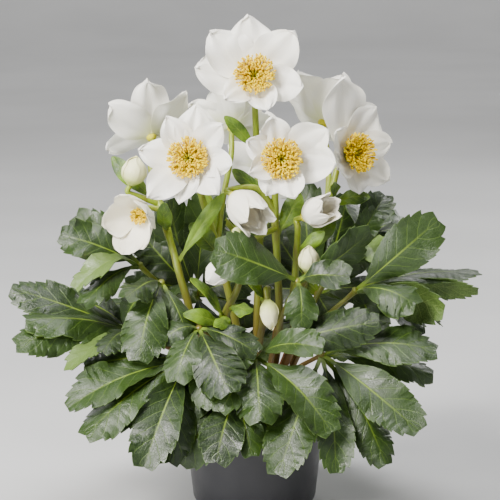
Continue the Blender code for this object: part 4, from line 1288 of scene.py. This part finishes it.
def build_soil(materials):
    """Potting soil with a lumpy top of bark, peat and grit."""
    shape = Shape()
    inset = POT_WALL + GAP + 0.35
    round_radius = POT_EDGE_ROUND - POT_WALL
    low = POT_FLOOR + GAP + 0.2
    edge = edge_round(round_radius, pot_radius(POT_EDGE_ROUND) - inset - round_radius, low + round_radius, 6)
    rim = pot_radius(SOIL_TOP) - inset
    wall = [(0.4, low), *edge, (rim, SOIL_TOP - 2.5)]
    top = [(rim * s, SOIL_TOP - 0.8) for s in np.linspace(0.995, 0.01, SOIL_RINGS)]
    rings = turned_rings(wall + top, SOIL_SIDES)
    upper = rings[..., 2] > SOIL_TOP - 1.5
    lumps = ripple_noise(rings, 5, 12, (0.06, 0.3)) * 0.7 + ripple_noise(rings, 6, 10, (0.3, 0.7)) * 0.35
    rings[..., 2] += np.where(upper, lumps, 0.0)
    shape.rings(rings, 0)
    rng = np.random.default_rng(SOIL_SEED)
    for _ in range(SOIL_CHIPS):
        angle, out = rng.uniform(0, 2 * math.pi), rim * 0.97 * math.sqrt(rng.uniform(0.12, 1))
        size = rng.uniform(0.7, 2.1)
        height = SOIL_TOP - 0.5 + rng.uniform(-0.3, 0.6)
        place = np.array((math.cos(angle) * out, math.sin(angle) * out, height))
        side, other, axis = axes_about(units(rng.normal(0, 1, 3)))
        long = rng.uniform(0.7, 2.2)
        profile = [(0.15, -1.0), (0.8, -0.6), (1.0, 0.1), (0.7, 0.75), (0.12, 1.0)]
        profile = [(size * r, size * long * z) for r, z in profile]
        chip = turned_rings(profile, 6, place, (side, other * rng.uniform(0.5, 1), axis))
        chip = chip + rng.normal(0, size * 0.09, chip.shape)
        shape.rings(chip, 0, tone=(rng.uniform(0, 1), 1.0 if rng.uniform() < GRIT_SHARE else 0.0))
    shape.piece("soil_look", materials, "soil")


def build_crown(materials):
    """The knotted crown at soil level, with the scars of old stalks."""
    shape = Shape()
    low = SOIL_TOP + GAP
    profile = [(0.5, low), (CROWN_RADIUS - 1.5, low), (CROWN_RADIUS - 0.5, low + 1.2)]
    profile += [(CROWN_RADIUS - 1.6, CROWN_TOP - 1.6)]
    profile += [(CROWN_RADIUS * s, CROWN_TOP - 0.6 + 0.3 * s) for s in np.linspace(0.9, 0.02, CROWN_RINGS)]
    rings = turned_rings(profile, CROWN_SIDES)
    upper = smooth_step(low, CROWN_TOP - 1, rings[..., 2])
    knots = ripple_noise(rings, 15, 10, (0.04, 0.16)) * 0.45 + ripple_noise(rings, 16, 10, (0.2, 0.5)) * 0.2
    rings[..., 2] += knots * upper
    spread = 1 + 0.02 * ripple_noise(rings, 17, 8, (0.03, 0.1)) - 0.025
    rings[..., :2] *= spread[..., None]
    shape.rings(rings, 0)
    shape.piece("crown_look", materials, "crown")


class Nodes:
    """Short ways to add shader nodes to one material."""

    def __init__(self, name):
        self.material = bpy.data.materials.new(name)
        self.material.use_nodes = True
        self.tree = self.material.node_tree
        self.shader = self.tree.nodes["Principled BSDF"]
        self.shader.inputs["Metallic"].default_value = 0.0

    def put(self, socket, value):
        if isinstance(value, bpy.types.NodeSocket):
            self.tree.links.new(value, socket)
        elif isinstance(value, tuple) and len(value) == 3 and socket.type == "RGBA":
            socket.default_value = (*value, 1.0)
        else:
            socket.default_value = value

    def add(self, kind, inputs=None, output=0, **settings):
        node = self.tree.nodes.new(kind)
        for word, value in settings.items():
            setattr(node, word, value)
        for place, value in (inputs or {}).items():
            self.put(node.inputs[place], value)
        return node.outputs[output]

    def sums(self, operation, *values):
        return self.add("ShaderNodeMath", dict(enumerate(values)), operation=operation)

    def band(self, value, low, high, start=0.0, end=1.0):
        """value taken smoothly from low..high to start..end."""
        inputs = {"Value": value, "From Min": low, "From Max": high, "To Min": start, "To Max": end}
        return self.add("ShaderNodeMapRange", inputs, interpolation_type="SMOOTHSTEP")

    def mix(self, share, first, second):
        """From the first colour to the second; 0, 6, 7 and 2 are the node's sockets for colours."""
        return self.add("ShaderNodeMix", {0: share, 6: first, 7: second}, 2, data_type="RGBA")

    def noise(self, vector, scale, detail=3.0, rough=0.55, distortion=0.0):
        inputs = {"Vector": vector, "Scale": scale, "Detail": detail, "Roughness": rough}
        return self.add("ShaderNodeTexNoise", {**inputs, "Distortion": distortion})

    def here(self, scale=(1.0, 1.0, 1.0)):
        """The place on the object, in metres times scale."""
        place = self.add("ShaderNodeTexCoord", output=3)
        return self.add("ShaderNodeMapping", {"Vector": place, "Scale": scale})

    def place(self):
        """Across and along the blade, each 0 to 1."""
        return self.parts(self.add("ShaderNodeUVMap", uv_map="place"))[:2]

    def parts(self, vector):
        """The three parts of a vector."""
        split = self.tree.nodes.new("ShaderNodeSeparateXYZ")
        self.put(split.inputs[0], vector)
        return tuple(split.outputs)

    def tone(self, word):
        return self.add("ShaderNodeAttribute", output=2, attribute_name=word)

    def bump(self, height, strength, distance):
        inputs = {"Height": height, "Strength": strength, "Distance": distance}
        return self.add("ShaderNodeBump", inputs)

    def surface(self, **inputs):
        for word, value in inputs.items():
            self.put(self.shader.inputs[word.replace("_", " ")], value)
        return self.material


def blade_veins(nodes, slim):
    """The rib, the side veins and the fine net of a blade, each 0 to 1."""
    across, along = nodes.place()
    reach = nodes.sums("ABSOLUTE", nodes.sums("MULTIPLY_ADD", across, 2.0, -1.0))
    rib = nodes.band(reach, 0.012 * slim, 0.06 * slim, 1.0, 0.0)
    rib = nodes.sums("MULTIPLY", rib, nodes.band(along, 0.3, 0.95, 1.0, 0.12))
    jitter = nodes.sums("MULTIPLY_ADD", nodes.noise(nodes.here(), 90.0, 1.0), 0.22, -0.11)
    slanted = nodes.sums("MULTIPLY_ADD", reach, -VEIN_SLANT, along)
    phase = nodes.sums("MULTIPLY_ADD", slanted, SIDE_VEINS, jitter)
    away = nodes.sums("ABSOLUTE", nodes.sums("SUBTRACT", nodes.sums("FRACT", phase), 0.5))
    side = nodes.band(away, 0.43, 0.495)
    side = nodes.sums("MULTIPLY", side, nodes.band(reach, 0.55, 0.95, 1.0, 0.15))
    net = nodes.add(
        "ShaderNodeTexVoronoi",
        {"Vector": nodes.here(), "Scale": 420.0, "Randomness": 1.0},
        feature="DISTANCE_TO_EDGE",
    )
    return reach, along, rib, side, nodes.band(net, 0.0, 0.11, 1.0, 0.0)


def fan_veins(nodes, across, along, count, scale):
    """Faint veins that fan out along a sepal."""
    fan = nodes.add("ShaderNodeCombineXYZ", {0: nodes.sums("MULTIPLY", across, count), 1: along})
    return nodes.noise(fan, scale, 3.0, 0.6, 0.3)


def finish_leaf_top():
    """Satin dark green with a paler rib, side veins and net, a painted highlight along the margin and painted
    light on the listed leaflets.
    """
    nodes = Nodes("leaf_top")
    reach, along, rib, side, net = blade_veins(nodes, 1.0)
    tone = nodes.tone("tone")
    cloud = nodes.noise(nodes.here(), 30.0, 4.0, 0.65)
    shade = nodes.band(nodes.sums("ADD", nodes.sums("MULTIPLY", tone, 0.5), cloud), 0.42, 1.0)
    colour = nodes.mix(shade, LEAF_DARK, LEAF_MID)
    fleck = nodes.band(nodes.noise(nodes.here(), 240.0, 3.0), 0.45, 0.75)
    colour = nodes.mix(nodes.sums("MULTIPLY", fleck, 0.22), colour, LEAF_LIGHT)
    colour = nodes.mix(nodes.sums("MULTIPLY", net, 0.26), colour, LEAF_LIGHT)
    colour = nodes.mix(nodes.sums("MULTIPLY", side, 0.42), colour, LEAF_VEIN)
    # painted highlight: a thin pale rim along the blade's margin, mixed towards the light green
    edge = nodes.band(reach, 0.93, 1.0, 0.0, 0.7)
    colour = nodes.mix(edge, colour, LEAF_LIGHT)
    colour = nodes.mix(nodes.sums("MULTIPLY", rib, 0.8), colour, LEAF_RIB)
    # painted light: the listed leaflets are mixed towards a pale lime-green that stands in for the light they
    # catch
    pale = nodes.sums("MULTIPLY", nodes.tone("pale"), 0.7)
    colour = nodes.mix(pale, colour, LEAF_PAINTED_LIGHT)
    base = nodes.band(along, 0.05, 0.2, 0.75, 0.0)
    colour = nodes.mix(base, colour, LEAF_RIB)
    rough = nodes.band(nodes.noise(nodes.here(), 60.0, 3.0), 0.3, 0.7, 0.33, 0.48)
    relief = nodes.sums("MULTIPLY_ADD", net, -0.5, nodes.sums("MULTIPLY", side, -0.9))
    relief = nodes.sums("MULTIPLY_ADD", nodes.noise(nodes.here(), 420.0, 4.0, 0.65), 0.8, relief)
    bump = nodes.bump(relief, 0.28, 0.0005)
    return nodes.surface(
        Base_Color=colour, Roughness=rough, Normal=bump, Specular_IOR_Level=0.5, Sheen_Weight=0.05,
        Sheen_Roughness=0.4,
    )


def finish_leaf_under():
    """Paler, duller green with raised veins."""
    nodes = Nodes("leaf_under")
    _, _, rib, side, net = blade_veins(nodes, 1.3)
    cloud = nodes.noise(nodes.here(), 40.0, 3.0)
    colour = nodes.mix(nodes.band(cloud, 0.3, 0.7), UNDER_DARK, UNDER_LIGHT)
    colour = nodes.mix(nodes.sums("MULTIPLY", net, 0.35), colour, UNDER_VEIN)
    colour = nodes.mix(nodes.sums("MULTIPLY", side, 0.6), colour, UNDER_VEIN)
    colour = nodes.mix(nodes.sums("MULTIPLY", rib, 0.85), colour, UNDER_VEIN)
    relief = nodes.sums("MULTIPLY_ADD", net, 0.5, nodes.sums("MULTIPLY", side, 0.9))
    bump = nodes.bump(relief, 0.5, 0.0006)
    return nodes.surface(Base_Color=colour, Roughness=0.58, Normal=bump, Specular_IOR_Level=0.4)


def finish_stalk():
    """Red-brown at the foot, olive above it and lime at the top, with fine streaks."""
    nodes = Nodes("stalk")
    height = nodes.parts(nodes.add("ShaderNodeTexCoord", output=3))[2]
    cloud = nodes.noise(nodes.here(), 35.0, 3.0)
    level = nodes.sums("MULTIPLY_ADD", nodes.sums("SUBTRACT", cloud, 0.5), 0.09, height)
    colour = nodes.mix(nodes.band(level, 0.1, 0.2), STALK_RED, STALK_OLIVE)
    colour = nodes.mix(nodes.band(level, 0.17, 0.26), colour, STALK_LIME)
    streak = nodes.band(nodes.noise(nodes.here((300.0, 300.0, 22.0)), 1.0, 3.0), 0.42, 0.68)
    colour = nodes.mix(nodes.sums("MULTIPLY", streak, 0.4), colour, STALK_RED)
    tone = nodes.sums("MULTIPLY", nodes.tone("tone"), 0.35)
    colour = nodes.mix(tone, colour, STALK_OLIVE)
    relief = nodes.noise(nodes.here((420.0, 420.0, 30.0)), 1.0, 2.0)
    bump = nodes.bump(relief, 0.35, 0.0005)
    return nodes.surface(Base_Color=colour, Roughness=0.4, Normal=bump, Specular_IOR_Level=0.5)


def finish_bract(name, light, dark):
    """Fresh green between two tones, with paler veins."""
    nodes = Nodes(name)
    _, along, rib, side, net = blade_veins(nodes, 1.6)
    cloud = nodes.noise(nodes.here(), 60.0, 3.0)
    colour = nodes.mix(nodes.band(cloud, 0.3, 0.7), dark, light)
    colour = nodes.mix(nodes.band(along, 0.0, 0.35, 0.6, 0.0), colour, STALK_OLIVE)
    colour = nodes.mix(nodes.sums("MULTIPLY", side, 0.35), colour, STALK_LIME)
    colour = nodes.mix(nodes.sums("MULTIPLY", rib, 0.5), colour, STALK_LIME)
    relief = nodes.sums("MULTIPLY_ADD", net, -0.4, nodes.sums("MULTIPLY", side, -0.8))
    bump = nodes.bump(relief, 0.4, 0.0005)
    return nodes.surface(Base_Color=colour, Roughness=0.42, Normal=bump)


def finish_sepal(name, base_colour, reach_of_green):
    """Soft white with faint veins, greener at its foot."""
    nodes = Nodes(name)
    across, along = nodes.place()
    veins = fan_veins(nodes, across, along, 34.0, 1.4)
    colour = nodes.mix(nodes.band(veins, 0.4, 0.75, 0.0, 0.32), SEPAL_WHITE, SEPAL_SHADE)
    cloud = nodes.noise(nodes.here(), 45.0, 3.0)
    creamy = nodes.sums("MULTIPLY_ADD", nodes.tone("pale"), 0.6, nodes.band(cloud, 0.4, 0.8, 0.0, 0.4))
    colour = nodes.mix(creamy, colour, SEPAL_CREAM)
    green = nodes.band(along, 0.03, reach_of_green, 0.85, 0.0)
    colour = nodes.mix(green, colour, base_colour)
    relief = nodes.sums("MULTIPLY_ADD", nodes.noise(nodes.here(), 700.0, 2.0), 0.25, veins)
    bump = nodes.bump(relief, 0.28, 0.0006)
    return nodes.surface(
        Base_Color=colour, Roughness=0.5, Normal=bump, Subsurface_Weight=0.18,
        Subsurface_Radius=(0.004, 0.004, 0.0035), Subsurface_Scale=0.6, Sheen_Weight=0.1,
    )


def finish_speckled(name, dark, light, rough, scale, bump=0.3):
    """A grainy finish between two colours, varied from piece to piece."""
    nodes = Nodes(name)
    grain = nodes.noise(nodes.here(), scale, 3.0, 0.65)
    share = nodes.sums("ADD", nodes.sums("MULTIPLY", nodes.tone("tone"), 0.45), grain)
    colour = nodes.mix(nodes.band(share, 0.4, 1.0), dark, light)
    relief = nodes.bump(nodes.noise(nodes.here(), scale * 3, 2.0), bump, 0.0004)
    return nodes.surface(Base_Color=colour, Roughness=rough, Normal=relief, Specular_IOR_Level=0.04)


def finish_bud():
    """Cream green, greener at its foot."""
    nodes = Nodes("bud_skin")
    across, along = nodes.place()
    veins = fan_veins(nodes, across, along, 26.0, 1.5)
    colour = nodes.mix(nodes.band(veins, 0.4, 0.75, 0.0, 0.5), BUD_CREAM, BUD_SHADE)
    colour = nodes.mix(nodes.band(along, 0.0, 0.62, 0.9, 0.0), colour, BUD_GREEN)
    colour = nodes.mix(nodes.sums("MULTIPLY", nodes.tone("pale"), 0.75), colour, BUD_GREEN)
    bump = nodes.bump(veins, 0.3, 0.0006)
    return nodes.surface(
        Base_Color=colour, Roughness=0.48, Normal=bump, Subsurface_Weight=0.12,
        Subsurface_Radius=(0.004, 0.004, 0.003), Subsurface_Scale=0.5,
    )


def finish_soil():
    """Dark crumbs with pale grit."""
    nodes = Nodes("soil_crumb")
    grain = nodes.noise(nodes.here(), 320.0, 4.0, 0.7)
    share = nodes.sums("ADD", nodes.sums("MULTIPLY", nodes.tone("tone"), 0.5), grain)
    colour = nodes.mix(nodes.band(share, 0.35, 1.1), SOIL_DARK, SOIL_LIGHT)
    colour = nodes.mix(nodes.tone("pale"), colour, SOIL_GRIT)
    bump = nodes.bump(nodes.noise(nodes.here(), 900.0, 4.0, 0.7), 0.8, 0.0008)
    return nodes.surface(Base_Color=colour, Roughness=0.88, Normal=bump, Specular_IOR_Level=0.3)


def finish_crown():
    """Rough dark bark with a little moss."""
    nodes = Nodes("crown_skin")
    rings = nodes.noise(nodes.here((1.0, 1.0, 4.0)), 130.0, 5.0, 0.7, 1.5)
    colour = nodes.mix(nodes.band(rings, 0.35, 0.7), CROWN_DARK, CROWN_LIGHT)
    moss = nodes.band(nodes.noise(nodes.here(), 48.0, 3.0), 0.55, 0.75, 0.0, 0.5)
    colour = nodes.mix(moss, colour, STALK_OLIVE)
    bump = nodes.bump(nodes.noise(nodes.here(), 420.0, 4.0, 0.7), 0.8, 0.001)
    return nodes.surface(Base_Color=colour, Roughness=0.8, Normal=bump, Specular_IOR_Level=0.3)


def finish_pot():
    """Satin dark grey with a fine moulded grain."""
    nodes = Nodes("pot_moulded")
    cloud = nodes.noise(nodes.here(), 14.0, 3.0)
    colour = nodes.mix(nodes.band(cloud, 0.3, 0.75), POT_DARK, POT_LIGHT)
    scuff = nodes.band(nodes.noise(nodes.here((240.0, 240.0, 60.0)), 1.0, 4.0, 0.7), 0.66, 0.8, 0.0, 0.12)
    colour = nodes.mix(scuff, colour, POT_SCUFF)
    rough = nodes.band(nodes.noise(nodes.here(), 90.0, 4.0, 0.6), 0.3, 0.7, 0.36, 0.46)
    grain = nodes.sums("MULTIPLY_ADD", nodes.noise(nodes.here(), 2600.0, 2.0), 0.6, cloud)
    bump = nodes.bump(grain, 0.16, 0.0003)
    return nodes.surface(Base_Color=colour, Roughness=rough, Normal=bump, Specular_IOR_Level=0.5)


def finish_floor():
    """Plain pale paper."""
    nodes = Nodes("floor_paper")
    cloud = nodes.noise(nodes.here(), 3.0, 2.0)
    colour = nodes.mix(nodes.band(cloud, 0.3, 0.7), FLOOR_DARK, FLOOR_LIGHT)
    return nodes.surface(Base_Color=colour, Roughness=0.9, Specular_IOR_Level=0.2)


def build_stage():
    """A plain pale floor that sweeps up far away on every side."""
    sweep = edge_round(FLOOR_SWEEP, FLOOR_RADIUS, FLOOR_SWEEP, 14)
    profile = [(0.01, 0.0), *sweep, (FLOOR_RADIUS + FLOOR_SWEEP, FLOOR_TOP)]
    rings = turned_rings(profile, FLOOR_SIDES)
    index = np.arange(len(rings) * FLOOR_SIDES).reshape(-1, FLOOR_SIDES)
    mesh = bpy.data.meshes.new("studio_floor")
    mesh.from_pydata(rings.reshape(-1, 3).tolist(), [], [*ring_faces(index), index[0].tolist()])
    mesh.materials.append(finish_floor())
    mesh.shade_smooth()
    floor = linked("studio_floor", mesh)


def softbox(name, place, aim, size, power, colour):
    """One soft area light, turned towards its aim."""
    light = bpy.data.lights.new(name, "AREA")
    light.shape = "RECTANGLE"
    light.size, light.size_y = size
    light.energy = power
    light.color = colour
    made = linked(name, light)
    made.location = place
    direction = np.subtract(aim, place)
    flat = math.hypot(direction[0], direction[1])
    made.rotation_euler = (math.atan2(flat, -direction[2]), 0.0, math.atan2(-direction[0], direction[1]))


def build_lights():
    """A soft key from the upper left, weaker lights round it, and a dim even sky."""
    for entry in LIGHTS:
        softbox(*entry)
    world = bpy.data.worlds.new("studio")
    world.use_nodes = True
    sky = world.node_tree.nodes["Background"]
    sky.inputs["Color"].default_value = SKY_COLOUR
    sky.inputs["Strength"].default_value = SKY_STRENGTH
    bpy.context.scene.world = world


def build_camera():
    """The photo's view, from above the flowers and looking down ten degrees."""
    camera = bpy.data.cameras.new("photo_view")
    camera.sensor_width = CAMERA_SENSOR
    camera.lens = CAMERA_LENS
    made = linked("photo_view", camera)
    made.location = CAMERA_PLACE
    made.rotation_euler = (math.radians(90.0 - CAMERA_DOWN), 0.0, 0.0)
    bpy.context.scene.camera = made


def build():
    """Every piece that shows."""
    leaf = [finish_leaf_top(), finish_leaf_under(), finish_stalk()]
    bract_top = finish_bract("bract_top", BRACT_LIGHT, BRACT_DARK)
    bract_under = finish_bract("bract_under", STALK_LIME, BRACT_LIGHT)
    stem = [bract_top, bract_under, leaf[2]]
    receptacle = finish_speckled("receptacle", PISTIL_DARK, PISTIL_LIGHT, 0.5, 300.0)
    front = finish_sepal("sepal_front", SEPAL_GREEN, 0.34)
    back = finish_sepal("sepal_back", SEPAL_GREEN, 0.5)
    anther = finish_speckled("anther", ANTHER_DARK, ANTHER_LIGHT, 0.75, 1500.0, 0.5)
    thread = finish_speckled("thread", THREAD_DARK, THREAD_LIGHT, 0.5, 400.0)
    pistil = finish_speckled("pistil", PISTIL_DARK, PISTIL_LIGHT, 0.45, 500.0)
    build_pot([finish_pot()])
    build_soil([finish_soil()])
    build_crown([finish_crown()])
    for number, (name, entry) in enumerate(all_leaves().items()):
        build_leaf(name, entry, number, leaf)
    for number, (name, entry) in enumerate(STEMS.items()):
        build_stem(name, entry, number, stem)
    for number, (name, flower) in enumerate(FLOWERS.items()):
        build_sepals(name, flower, number, [front, back, receptacle])
        if flower.boss:
            build_stamens(name, flower, number, [thread, anther, pistil])
    skin = finish_bud()
    for number, (name, bud) in enumerate(BUDS.items()):
        build_bud(name, bud, number, [skin])


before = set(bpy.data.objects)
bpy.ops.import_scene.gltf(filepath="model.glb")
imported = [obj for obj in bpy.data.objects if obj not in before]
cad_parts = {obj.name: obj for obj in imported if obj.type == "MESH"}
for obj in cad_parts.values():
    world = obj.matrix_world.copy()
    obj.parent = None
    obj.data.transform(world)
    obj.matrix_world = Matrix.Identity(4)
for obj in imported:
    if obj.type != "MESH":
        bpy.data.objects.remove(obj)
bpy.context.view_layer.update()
build_stage()
build_lights()
build_camera()
build()
